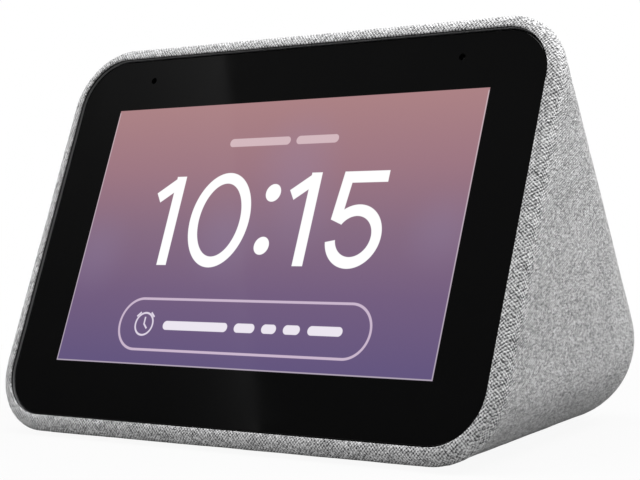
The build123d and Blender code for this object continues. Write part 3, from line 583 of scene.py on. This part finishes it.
def knit_finish():
    f = Finish("knit_melange")
    away = f.vector("SUBTRACT", f.mm, tuple(screen_origin / MM))
    depth = f.along(away, -outward)
    drift = f.vector("SUBTRACT", f.noise(f.mm, 0.30, 2.0, 1), (0.5, 0.5, 0.5))
    threads = f.vector("ADD", away, f.vector("SCALE", drift, THREAD_DRIFT))
    weave = woven(f, threads)
    yarn = f.vector("MULTIPLY", threads, (1.0, 0.4, 1.0))
    fleck = f.math("SUBTRACT", f.along(f.cells(yarn, 1 / FLECK), (1, 0, 0)), 0.5)
    fibre = f.math("SUBTRACT", f.noise(yarn, 5.6, 2.0), 0.5)
    cloudy = f.math("SUBTRACT", f.noise(f.mm, 0.12, 2.0), 0.5)

    near_rim = f.between(depth, *RIM_DEPTH, 1.0, 0.0)
    fleck_weight = f.math("MULTIPLY_ADD", near_rim, 0.20, 0.52)
    weave_weight = f.math("MULTIPLY_ADD", near_rim, 0.30, 0.20)
    tone = f.math("MULTIPLY_ADD", fleck, fleck_weight, 0.5)
    tone = f.math("MULTIPLY_ADD", weave, weave_weight, tone)
    tone = f.math("MULTIPLY_ADD", fibre, 1.5, tone)
    tone = f.math("MULTIPLY_ADD", cloudy, 0.12, tone)
    cloth = f.mix(f.math("MULTIPLY", tone, 1.0, clamp=True), YARN_DARK, YARN_PALE)
    # Painted shade: the cloth's turned-in edge beside the glass is coloured black, for the shadow
    # in the recess.
    f.set("Base Color", f.mix(recess_shade_mask(f, away, depth), cloth, RECESS_SHADE_BLACK))

    height = f.math("MULTIPLY_ADD", fibre, 1.2, f.math("MULTIPLY_ADD", fleck, 0.5, weave))
    f.bump(height, 0.55, 0.00012)
    f.set("Roughness", f.between(tone, 0.0, 1.0, 0.95, 0.82))
    f.set("Specular IOR Level", 0.2)
    f.set("Sheen Weight", 0.12)
    f.set("Sheen Roughness", 0.45)
    return f.material


knit.data.materials.clear()
knit.data.materials.append(knit_finish())
print("knit finish:", THREAD, "mm threads,", FLECK, "mm flecks")

# %% [markdown]
# The screen's picture is drawn by distance: each shape is a node sum that is negative inside
# it, so shapes join with a minimum and are cut with a maximum. An image would do the same,
# but drawn shapes stay sharp at any size. These are the shapes: box, ring, bar, half plane.

# %% Drawing with distances
def box_shape(f, x, y, middle, half, turn=0.0):
    dx = f.math("SUBTRACT", x, middle[0])
    dy = f.math("SUBTRACT", y, middle[1])
    if turn:
        c, s = math.cos(turn), math.sin(turn)
        u = f.math("MULTIPLY_ADD", dx, c, f.math("MULTIPLY", dy, s))
        v = f.math("MULTIPLY_ADD", dy, c, f.math("MULTIPLY", dx, -s))
    else:
        u, v = dx, dy
    return f.math("MAXIMUM", f.math("SUBTRACT", f.math("ABSOLUTE", u), half[0]),
                  f.math("SUBTRACT", f.math("ABSOLUTE", v), half[1]))


def reach(f, x, y, middle, stretch=(1.0, 1.0)):
    """Distance from a middle, measured with each axis divided by its stretch."""
    both = f.node("ShaderNodeCombineXYZ")
    f.feed(both.inputs[0], f.math("DIVIDE", f.math("SUBTRACT", x, middle[0]), stretch[0]))
    f.feed(both.inputs[1], f.math("DIVIDE", f.math("SUBTRACT", y, middle[1]), stretch[1]))
    return f.vector("LENGTH", both.outputs[0])


def ring_shape(f, x, y, middle, radius, stroke):
    off = f.math("SUBTRACT", reach(f, x, y, middle), radius)
    return f.math("SUBTRACT", f.math("ABSOLUTE", off), stroke / 2)


def bar_shape(f, x, y, middle, half_length, radius):
    """A bar with full round ends."""
    dx = f.math("ABSOLUTE", f.math("SUBTRACT", x, middle[0]))
    over = f.math("MAXIMUM", f.math("SUBTRACT", dx, half_length), 0.0)
    return f.math("SUBTRACT", reach(f, over, y, (0.0, middle[1])), radius)


def side_of(f, x, y, point, normal):
    """Negative behind a line through point."""
    dx = f.math("SUBTRACT", x, point[0])
    dy = f.math("SUBTRACT", y, point[1])
    return f.math("MULTIPLY_ADD", dx, normal[0], f.math("MULTIPLY", dy, normal[1]))


def joined(f, shapes):
    total = shapes[0]
    for shape in shapes[1:]:
        total = f.math("MINIMUM", total, shape)
    return total

# %% [markdown]
# A clock's figures are strokes of one width. A font would bring its own letterforms, so each
# figure is built from boxes, ovals and a ring, in millimetres on the screen's axes: the 1 is
# a stem and a slanted flag, the 0 an oval less an oval, the 5 a bar, a stem and a bowl.

# %% The clock's figures
DIGIT_TOP, DIGIT_FOOT = 11.27, -6.51


def one_shape(f, x, y, left):
    """The figure 1, its flag starting at left."""
    stem_half = (DIGIT_TOP - DIGIT_FOOT) / 2
    stem = box_shape(f, x, y, (left + 5.15, DIGIT_FOOT + stem_half), (1.18, stem_half))
    flag = box_shape(f, x, y, (left + 2.85, 8.67), (2.95, 1.13), math.radians(33.5))
    flag = f.math("MAXIMUM", flag, f.math("SUBTRACT", y, DIGIT_TOP))
    flag = f.math("MAXIMUM", flag, f.math("SUBTRACT", x, left + 5.15))
    return f.math("MINIMUM", stem, flag)


def zero_shape(f, x, y, middle):
    outer = f.math("MULTIPLY", f.math("SUBTRACT", reach(f, x, y, middle, (7.19, 9.31)), 1.0), 8.0)
    inner = f.math("MULTIPLY", f.math("SUBTRACT", reach(f, x, y, middle, (4.97, 7.2)), 1.0), 6.0)
    return f.math("MAXIMUM", outer, f.math("MULTIPLY", inner, -1.0))


def five_shape(f, x, y, middle):
    top = box_shape(f, x, y, (middle[0] + 0.3, DIGIT_TOP - 1.08), (4.72, 1.08))
    stem = box_shape(f, x, y, (middle[0] - 4.05, middle[1] + 7.4), (1.13, 5.6),
                     -math.radians(6.0))
    stem = f.math("MAXIMUM", stem, f.math("SUBTRACT", y, DIGIT_TOP))
    stem = f.math("MAXIMUM", stem, side_of(f, x, y, (middle[0] - 3.28, middle[1] + 2.28),
                                           (-0.364, -0.931)))
    bowl = ring_shape(f, x, y, middle, 4.87, 2.14)
    mouth = f.math("MAXIMUM", side_of(f, x, y, middle, (0.571, 0.821)),
                   side_of(f, x, y, middle, (0.174, -0.985)))
    bowl = f.math("MAXIMUM", bowl, f.math("MULTIPLY", mouth, -1.0))
    return joined(f, [top, stem, bowl])


print("figures:", round(DIGIT_TOP - DIGIT_FOOT, 1), "mm tall")

# %% [markdown]
# Behind the figures the picture runs from violet at the foot to rose at the top, with a few
# soft glows, so a colour ramp along the rise makes it. An alarm frame with a small clock
# sign stands below, and plain bars stand where a real clock shows words. A thin pale line
# edges the lit area, except along its top.

# %% The lit picture
ACTIVE_HALF = (43.2, 25.92)
GLOWS = (((4.9, 13.9), 8.0, 0.16), ((-7.9, -1.1), 7.0, 0.14), ((8.0, 3.9), 7.5, 0.13),
         ((-40.0, -4.0), 7.0, 0.14), ((39.0, 0.0), 6.0, 0.14))
ALARM_Y = -18.12
CLOCK = (-22.84, ALARM_Y)
WORDS = ((-10.3, 6.9), (1.4, 1.5), (7.0, 0.8), (12.1, 1.0), (19.4, 2.9))
CAPTION = ((-5.0, 6.4), (8.4, 4.0))
EDGE = 0.06


def alarm_sign(f, x, y):
    """A small clock: its ring, two hands and two bells."""
    at_x, at_y = CLOCK
    parts = [ring_shape(f, x, y, CLOCK, 2.14, 0.36)]
    for dx, dy, half, turn in ((0.0, 0.65, (0.17, 0.72), 0), (0.42, -0.42, (0.17, 0.62), 45),
                               (-1.72, 1.83, (0.62, 0.17), 42), (1.72, 1.83, (0.62, 0.17), -42)):
        parts.append(box_shape(f, x, y, (at_x + dx, at_y + dy), half, math.radians(turn)))
    return parts


def picture(f, x, y):
    """The screen's colour, and 1 inside its lit area."""
    ramp = f.node("ShaderNodeValToRGB")
    f.feed(ramp.inputs[0], f.between(y, -ACTIVE_HALF[1], ACTIVE_HALF[1], kind="LINEAR"))
    stops = ramp.color_ramp.elements
    stops[0].color = shade(98, 84, 126)
    stops[1].color = shade(171, 129, 132)
    for spot, colour in ((0.27, shade(115, 93, 127)), (0.5, shade(133, 106, 129)),
                         (0.74, shade(156, 118, 130))):
        stops.new(spot).color = colour
    colour = ramp.outputs[0]
    for middle, size, strength in GLOWS:
        glow = f.between(reach(f, x, y, middle, (size, size)), 0.0, 1.6, strength, 0.0)
        colour = f.mix(glow, colour, shade(150, 140, 178))

    figures = [one_shape(f, x, y, -27.4), zero_shape(f, x, y, (-10.48, 2.41)),
               one_shape(f, x, y, 4.98), five_shape(f, x, y, (21.04, -0.96))]
    figures += [f.math("SUBTRACT", reach(f, x, y, (0.99, dot)), 1.72) for dot in (7.54, -2.68)]
    pill = bar_shape(f, x, y, (0.0, ALARM_Y), 24.05, 5.17)
    outline = f.math("SUBTRACT", f.math("ABSOLUTE", f.math("ADD", pill, 0.24)), 0.24)
    sign = alarm_sign(f, x, y)
    words = [bar_shape(f, x, y, (middle, -18.25), half, 0.86) for middle, half in WORDS]
    caption = [bar_shape(f, x, y, (middle, 17.8), half, 0.82) for middle, half in CAPTION]
    for shapes, ink, strength in ((caption, shade(222, 196, 202), 0.8),
                                  ([outline], shade(210, 190, 212), 0.9),
                                  (words, shade(240, 234, 244), 0.95),
                                  (sign, shade(232, 222, 238), 0.9),
                                  (figures, shade(255, 255, 255), 1.0)):
        lit = f.between(joined(f, shapes), EDGE, -EDGE, 0.0, strength)
        colour = f.mix(lit, colour, ink)

    edge = box_shape(f, x, y, (0, 0), ACTIVE_HALF)
    line = f.between(edge, -0.30, -0.16, 0.0, 0.45)
    not_top = f.between(y, ACTIVE_HALF[1] - 0.6, ACTIVE_HALF[1] - 0.3, 1.0, 0.0)
    colour = f.mix(f.math("MULTIPLY", line, not_top), colour, shade(235, 222, 230))
    return colour, f.between(edge, 0.05, -0.05)


def screen_axes(f):
    """Across, rise and outwards, in millimetres from the middle of the screen."""
    away = f.vector("SUBTRACT", f.mm, tuple(screen_origin / MM))
    return f.along(away, ACROSS), f.along(away, rise_way), f.along(away, outward)


def show_picture(f, strength):
    """Makes the faces that look outwards glow with the picture."""
    x, y = screen_axes(f)[:2]
    colour, lit = picture(f, x, y)
    front = f.between(f.along(f.place.outputs["Normal"], outward), 0.3, 0.6)
    f.set("Emission Color", f.mix(f.math("MULTIPLY", lit, front), (0, 0, 0, 1), colour))
    f.set("Emission Strength", strength)


print("lit area:", 2 * ACTIVE_HALF[0], "by", 2 * ACTIVE_HALF[1], "mm")

# %% [markdown]
# The panel is bonded to the back of the cover glass, so its picture seems to lie in the
# glass, inside a printed black border. Two clear layers would show that too, but slowly and
# with noise, so the glass itself glows with the picture where it faces outwards. The panel
# behind has the same picture, for a view with the glass taken off.

# %% Cover glass and panel finishes
def glass_finish():
    f = Finish("cover_glass_lit")
    show_picture(f, 1.0)
    smudge = f.noise(f.mm, 0.09, 3.0)
    f.set("Base Color", f.mix(smudge, (0.0006, 0.0006, 0.0007, 1), (0.0012, 0.0012, 0.0013, 1)))
    f.set("Roughness", f.between(smudge, 0.3, 0.75, 0.03, 0.075))
    f.set("Specular IOR Level", 0.27)
    return f.material


def panel_lit_finish():
    f = Finish("display_panel")
    show_picture(f, 0.8)
    grain = f.noise(f.mm, 6.0, 2.0)
    f.set("Base Color", f.mix(grain, (0.03, 0.03, 0.035, 1), (0.05, 0.05, 0.055, 1)))
    f.set("Roughness", f.between(grain, 0.2, 0.8, 0.12, 0.25))
    return f.material

# %% [markdown]
# Moulded plastic is never perfectly smooth: the mould is spark-eroded, which leaves a fine
# even grain, and the colour clouds slightly where the melt flowed. One recipe with its own
# numbers serves the housing, the connector panel, the speaker parts, the chips and rubber.

# %% Moulded plastic and rubber
def moulded(name, colour, roughness, grain, depth, clouding=0.12):
    f = Finish(name)
    spark = f.noise(f.mm, 1.0 / grain, 3.0)
    flow = f.noise(f.mm, 0.07, 2.0)
    specks = f.between(f.noise(f.mm, 1.7 / grain, 1.0), 0.62, 0.74)
    dark = tuple(c * (1 - clouding) for c in colour) + (1,)
    light = tuple(min(1.0, c * (1 + clouding)) for c in colour) + (1,)
    body = f.mix(flow, dark, light)
    f.set("Base Color", f.mix(f.math("MULTIPLY", specks, 0.25), body, light))
    f.set("Roughness", f.between(spark, 0.25, 0.75, roughness - 0.09, roughness + 0.09))
    f.bump(spark, 0.35, depth)
    f.set("Specular IOR Level", 0.4)
    return f.material

# %% [markdown]
# Sheet steel shows the lines of rolling, a noise that is stretched one way. Screws are
# blackened, and worn bright in small patches. One recipe makes both, by its stretch.

# %% Metals
def rolled_metal(name, colour, roughness, stretch, wear):
    f = Finish(name)
    lines = f.node("ShaderNodeMapping")
    f.feed(lines.inputs["Vector"], f.mm)
    lines.inputs["Scale"].default_value = stretch
    grain = f.noise(lines.outputs[0], 1.0, 4.0)
    stain = f.noise(f.mm, 0.25, 3.0)
    worn = f.between(f.noise(f.mm, 2.4, 3.0), 0.5, 0.68)
    dull = tuple(c * 0.72 for c in colour) + (1,)
    body = f.mix(stain, dull, tuple(colour) + (1,))
    f.set("Base Color", f.mix(f.math("MULTIPLY", worn, wear), body, (0.78, 0.77, 0.75, 1)))
    f.set("Metallic", 1.0)
    f.set("Roughness", f.between(grain, 0.2, 0.8, roughness - 0.08, roughness + 0.1))
    f.bump(grain, 0.2, 0.00003)
    return f.material

# %% [markdown]
# A circuit board has copper tracks under a green mask. A brick grid turned by the board's
# own axes gives tracks that run straight and turn square, with small tinned pads between.

# %% Circuit board
def board_finish():
    f = Finish("solder_mask")
    x, y, out = screen_axes(f)
    grid = f.node("ShaderNodeCombineXYZ")
    f.feed(grid.inputs[0], x)
    f.feed(grid.inputs[1], y)
    f.feed(grid.inputs[2], out)
    tracks = f.node("ShaderNodeTexBrick")
    f.feed(tracks.inputs["Vector"], grid.outputs[0])
    tracks.inputs["Scale"].default_value = 0.55
    tracks.inputs["Mortar Size"].default_value = 0.035
    tracks.inputs["Color1"].default_value = (0.012, 0.085, 0.036, 1)
    tracks.inputs["Color2"].default_value = (0.016, 0.11, 0.045, 1)
    tracks.inputs["Mortar"].default_value = (0.04, 0.21, 0.085, 1)
    dots = f.cells(grid.outputs[0], 0.9, "Distance")
    pads = f.between(dots, 0.16, 0.12)
    f.set("Base Color", f.mix(pads, tracks.outputs["Color"], (0.72, 0.7, 0.62, 1)))
    f.set("Metallic", f.math("MULTIPLY", pads, 0.9))
    f.set("Roughness", f.between(f.noise(f.mm, 3.0, 2.0), 0.3, 0.7, 0.28, 0.42))
    f.bump(f.math("ADD", tracks.outputs["Fac"], pads), 0.3, 0.00004)
    return f.material

# %% [markdown]
# The speaker's cone is pressed paper, fibrous and faintly ringed; its coil is copper wire in
# even turns. The ribbon cables have parallel tracks under a film, and the light guide a grid
# of pale dots. Rings and turns are sines along an axis, so they need no unwrap.

# %% Paper cone, copper, ribbon and light guide
def paper_finish():
    f = Finish("pressed_paper")
    fibre = f.noise(f.mm, 2.6, 4.0)
    rings = f.math("SINE", f.math("MULTIPLY", f.along(f.mm, slope_out), 9.0))
    f.set("Base Color", f.mix(fibre, (0.018, 0.018, 0.02, 1), (0.06, 0.06, 0.065, 1)))
    f.set("Roughness", f.between(fibre, 0.2, 0.8, 0.72, 0.92))
    f.bump(f.math("MULTIPLY_ADD", rings, 0.3, fibre), 0.4, 0.00008)
    return f.material


def copper_finish():
    f = Finish("wound_copper")
    turns = f.math("SINE", f.math("MULTIPLY", f.along(f.mm, slope_out), 2 * math.pi / 0.16))
    tint = f.noise(f.mm, 0.8, 2.0)
    f.set("Base Color", f.mix(tint, (0.62, 0.25, 0.12, 1), (0.82, 0.38, 0.2, 1)))
    f.set("Metallic", 1.0)
    f.set("Roughness", f.between(tint, 0.3, 0.7, 0.24, 0.4))
    f.bump(turns, 0.7, 0.00005)
    return f.material


def ribbon_finish():
    f = Finish("ribbon_cable")
    lanes = f.math("SINE", f.math("MULTIPLY", f.along(f.mm, ACROSS), 2 * math.pi / 0.5))
    track = f.between(lanes, -0.1, 0.25)
    f.set("Base Color", f.mix(track, (0.36, 0.17, 0.05, 1), (0.62, 0.33, 0.11, 1)))
    f.set("Roughness", f.between(f.noise(f.mm, 1.5, 2.0), 0.3, 0.7, 0.26, 0.4))
    f.bump(lanes, 0.4, 0.00003)
    return f.material


def light_guide_finish():
    f = Finish("light_guide")
    dots = f.between(f.cells(f.mm, 1.6, "Distance"), 0.28, 0.2)
    f.set("Base Color", f.mix(dots, (0.74, 0.75, 0.74, 1), (0.9, 0.9, 0.88, 1)))
    f.set("Roughness", f.between(f.noise(f.mm, 2.0, 2.0), 0.3, 0.7, 0.3, 0.5))
    f.bump(dots, 0.3, 0.00004)
    return f.material

# %% [markdown]
# Every part keeps its CAD shape, and gets the finish of its slot in the record. Parts with
# one slot share one material, so a change to a recipe reaches all of them.

# %% Give each part its finish
FINISHES = {
    "housing_plastic": moulded("housing_plastic", (0.24, 0.24, 0.245), 0.55, 0.22, 0.00004),
    "panel_plastic": moulded("panel_plastic", (0.085, 0.085, 0.09), 0.48, 0.2, 0.00004),
    "rubber": moulded("foot_rubber", (0.045, 0.045, 0.048), 0.8, 0.5, 0.00007, 0.2),
    "cover_glass": glass_finish(),
    "display": panel_lit_finish(),
    "backlight": light_guide_finish(),
    "tape": moulded("foam_tape", (0.02, 0.02, 0.021), 0.85, 0.3, 0.00008, 0.25),
    "sheet_metal": rolled_metal("tinned_steel", (0.62, 0.62, 0.6), 0.32, (0.4, 6.0, 6.0), 0.2),
    "screw_steel": rolled_metal("black_zinc", (0.1, 0.1, 0.105), 0.4, (3.0, 3.0, 3.0), 0.45),
    "circuit_board": board_finish(),
    "chip_plastic": moulded("chip_epoxy", (0.022, 0.022, 0.024), 0.6, 0.12, 0.00002, 0.2),
    "speaker_plastic": moulded("speaker_plastic", (0.03, 0.03, 0.032), 0.5, 0.25, 0.00004),
    "ferrite": moulded("ferrite", (0.05, 0.05, 0.052), 0.68, 0.4, 0.00006, 0.3),
    "paper_cone": paper_finish(),
    "copper": copper_finish(),
    "flat_cable": ribbon_finish(),
}
for node, obj in frame["nodes"].items():
    if node == "fabric_cover":
        continue
    obj.data.materials.clear()
    obj.data.materials.append(FINISHES[SLOT_OF[node]])
print("finishes:", len(FINISHES), "for", len(frame["nodes"]) - 1, "parts")

# %% [markdown]
# The set is a plain pale floor under an even white sky. To the light it is an ordinary pale
# floor. To the camera it is nearly all white, with a trace of the shadow close in, so it
# meets the sky with no line. Seen from below it is clear, for a look at the underside.

# %% Floor
FLOOR_SIZE = 40
FLOOR_DROP = 0.05 * MM
SHADOW_SPAN = (60.0, 240.0)
SHADOW_SHARE = 0.07

bpy.ops.mesh.primitive_plane_add(size=FLOOR_SIZE, location=(0, 0, -FLOOR_DROP))
floor = bpy.context.object
floor.name = "floor"
pale = Finish("pale_floor")
pale.set("Base Color", pale.mix(pale.noise(pale.mm, 0.004, 2.0), (0.36, 0.36, 0.36, 1),
                                (0.40, 0.40, 0.40, 1)))
pale.set("Roughness", 0.9)
floor_rays = pale.node("ShaderNodeLightPath")
near = pale.between(pale.vector("LENGTH", pale.mm), *SHADOW_SPAN, SHADOW_SHARE, 0.0)
white = pale.node("ShaderNodeEmission")
shown = pale.node("ShaderNodeMixShader")
pale.feed(shown.inputs[0], near)
pale.feed(shown.inputs[1], white.outputs[0])
pale.feed(shown.inputs[2], pale.shader.outputs[0])
floor_both = pale.node("ShaderNodeMixShader")
pale.feed(floor_both.inputs[0], floor_rays.outputs["Is Camera Ray"])
pale.feed(floor_both.inputs[1], pale.shader.outputs[0])
pale.feed(floor_both.inputs[2], shown.outputs[0])
one_sided = pale.node("ShaderNodeMixShader")
pale.feed(one_sided.inputs[0], pale.node("ShaderNodeNewGeometry").outputs["Backfacing"])
pale.feed(one_sided.inputs[1], floor_both.outputs[0])
pale.feed(one_sided.inputs[2], pale.node("ShaderNodeBsdfTransparent").outputs[0])
pale.tree.links.new(one_sided.outputs[0], pale.tree.nodes["Material Output"].inputs[0])
floor.data.materials.append(pale.material)
print("floor:", FLOOR_SIZE, "m across")

# %% [markdown]
# The sky is plain white where the camera sees it, and dimmer where it lights things. Glossy
# surfaces mirror it dimmer still, and a little brighter higher up, as in a dark studio with
# a pale ceiling. That keeps the black border of the glass deep.

# %% Sky
FILL = 0.26
GLOSS_SKY = ((0.40, 0.095), (0.61, 0.162))

sky = bpy.data.worlds.new("studio")
bpy.context.scene.world = sky
sky.use_nodes = True
sky_nodes = sky.node_tree.nodes
sky_links = sky.node_tree.links
seen = sky_nodes["Background"]
seen.inputs["Color"].default_value = (1, 1, 1, 1)
fill = sky_nodes.new("ShaderNodeBackground")
fill.inputs["Color"].default_value = (1, 1, 1, 1)
rays = sky_nodes.new("ShaderNodeLightPath")
dimmer = sky_nodes.new("ShaderNodeMapRange")
dimmer.inputs["To Min"].default_value = FILL
direction = sky_nodes.new("ShaderNodeSeparateXYZ")
sky_links.new(sky_nodes.new("ShaderNodeTexCoord").outputs["Generated"], direction.inputs[0])
graded = sky_nodes.new("ShaderNodeMapRange")
(low, low_light), (high, high_light) = GLOSS_SKY
for socket, number in zip(graded.inputs[1:5], (low, high, low_light, high_light)):
    socket.default_value = number
sky_links.new(direction.outputs[2], graded.inputs[0])
sky_links.new(graded.outputs[0], dimmer.inputs["To Max"])
sky_links.new(rays.outputs["Is Glossy Ray"], dimmer.inputs["Value"])
sky_links.new(dimmer.outputs[0], fill.inputs["Strength"])
both = sky_nodes.new("ShaderNodeMixShader")
sky_links.new(rays.outputs["Is Camera Ray"], both.inputs[0])
sky_links.new(fill.outputs[0], both.inputs[1])
sky_links.new(seen.outputs[0], both.inputs[2])
sky_links.new(both.outputs[0], sky_nodes["World Output"].inputs["Surface"])
print("sky: fill", FILL)

# %% [markdown]
# Four soft square lamps light the display: one overhead, one large on the left, one small
# and close above the right side, so that side darkens towards its foot, and a weak one in
# front. Soft lamps are large, because a small lamp far off gives a hard shadow.

# %% Lamps
LOOK_AT = Vector((0, 0, 0.035))
LAMPS = (("lamp_top", (-0.12, -0.10, 0.85), 0.55, 6.0),
         ("lamp_left", (-0.80, -0.12, 0.40), 0.45, 3.8),
         ("lamp_right", (0.16, 0.06, 0.22), 0.12, 0.62),
         ("lamp_front", (0.10, -0.75, 0.50), 0.40, 0.9))


def softbox(name, at, size, power):
    """A square lamp that looks at the display's middle."""
    lamp = bpy.data.lights.new(name, "AREA")
    lamp.size = size
    lamp.energy = power
    obj = bpy.data.objects.new(name, lamp)
    bpy.context.scene.collection.objects.link(obj)
    obj.location = at
    obj.rotation_mode = "QUATERNION"
    obj.rotation_quaternion = (LOOK_AT - Vector(at)).to_track_quat("-Z", "Y")
    obj.visible_camera = False


for lamp_name, at, size, power in LAMPS:
    softbox(lamp_name, at, size, power)
print("lamps:", len(LAMPS))

# %% [markdown]
# Black glass shows what it mirrors. A graded card, seen only by gloss, stands where the glass
# mirrors it to the camera: bright along one slanting edge and fading to the left, it gives
# the soft band of light across the border. Its corners are found by sending lines from the
# camera's mirror image through the glass.

# %% The graded card
CARD_STEP = 2.2
CARD_LIGHT = 0.287

camera_in_glass = CAMERA_AT - 2 * (CAMERA_AT - screen_origin).dot(outward) * outward


def card_corner(across, rise):
    """Where a line of sight that meets the glass there arrives after it is mirrored."""
    on_glass = SCREEN @ Vector((across, rise, -GLASS_SET_BACK))
    return on_glass + (on_glass - camera_in_glass) * CARD_STEP


corners = [card_corner(14.6 * MM, -46 * MM), card_corner(-80 * MM, -46 * MM),
           card_corner(-22.0 * MM, 46 * MM), card_corner(-80 * MM, 46 * MM)]
bpy.ops.mesh.primitive_plane_add(size=1, location=(0, 0, 0))
card = bpy.context.object
card.name = "card"
for vertex, corner in zip(card.data.vertices, corners):
    vertex.co = corner
glow = Finish("card_glow")
across_up = glow.node("ShaderNodeSeparateXYZ")
glow.feed(across_up.inputs[0], glow.place.outputs["UV"])
fade_length = glow.math("MULTIPLY_ADD", across_up.outputs[1], 0.34, 0.05)
fade = glow.math("EXPONENT", glow.math("MULTIPLY", glow.math(
    "DIVIDE", across_up.outputs[0], fade_length), -1.0))
lamp_shader = glow.node("ShaderNodeEmission")
glow.feed(lamp_shader.inputs["Strength"], glow.math("MULTIPLY", fade, CARD_LIGHT))
clear = glow.node("ShaderNodeBsdfTransparent")
added = glow.node("ShaderNodeAddShader")
glow.feed(added.inputs[0], lamp_shader.outputs[0])
glow.feed(added.inputs[1], clear.outputs[0])
glow.tree.links.new(added.outputs[0], glow.tree.nodes["Material Output"].inputs[0])
card.data.materials.append(glow.material)
for ray in ("camera", "diffuse", "transmission", "volume_scatter", "shadow"):
    setattr(card, "visible_" + ray, False)
print("card:", len(card.data.vertices), "corners")
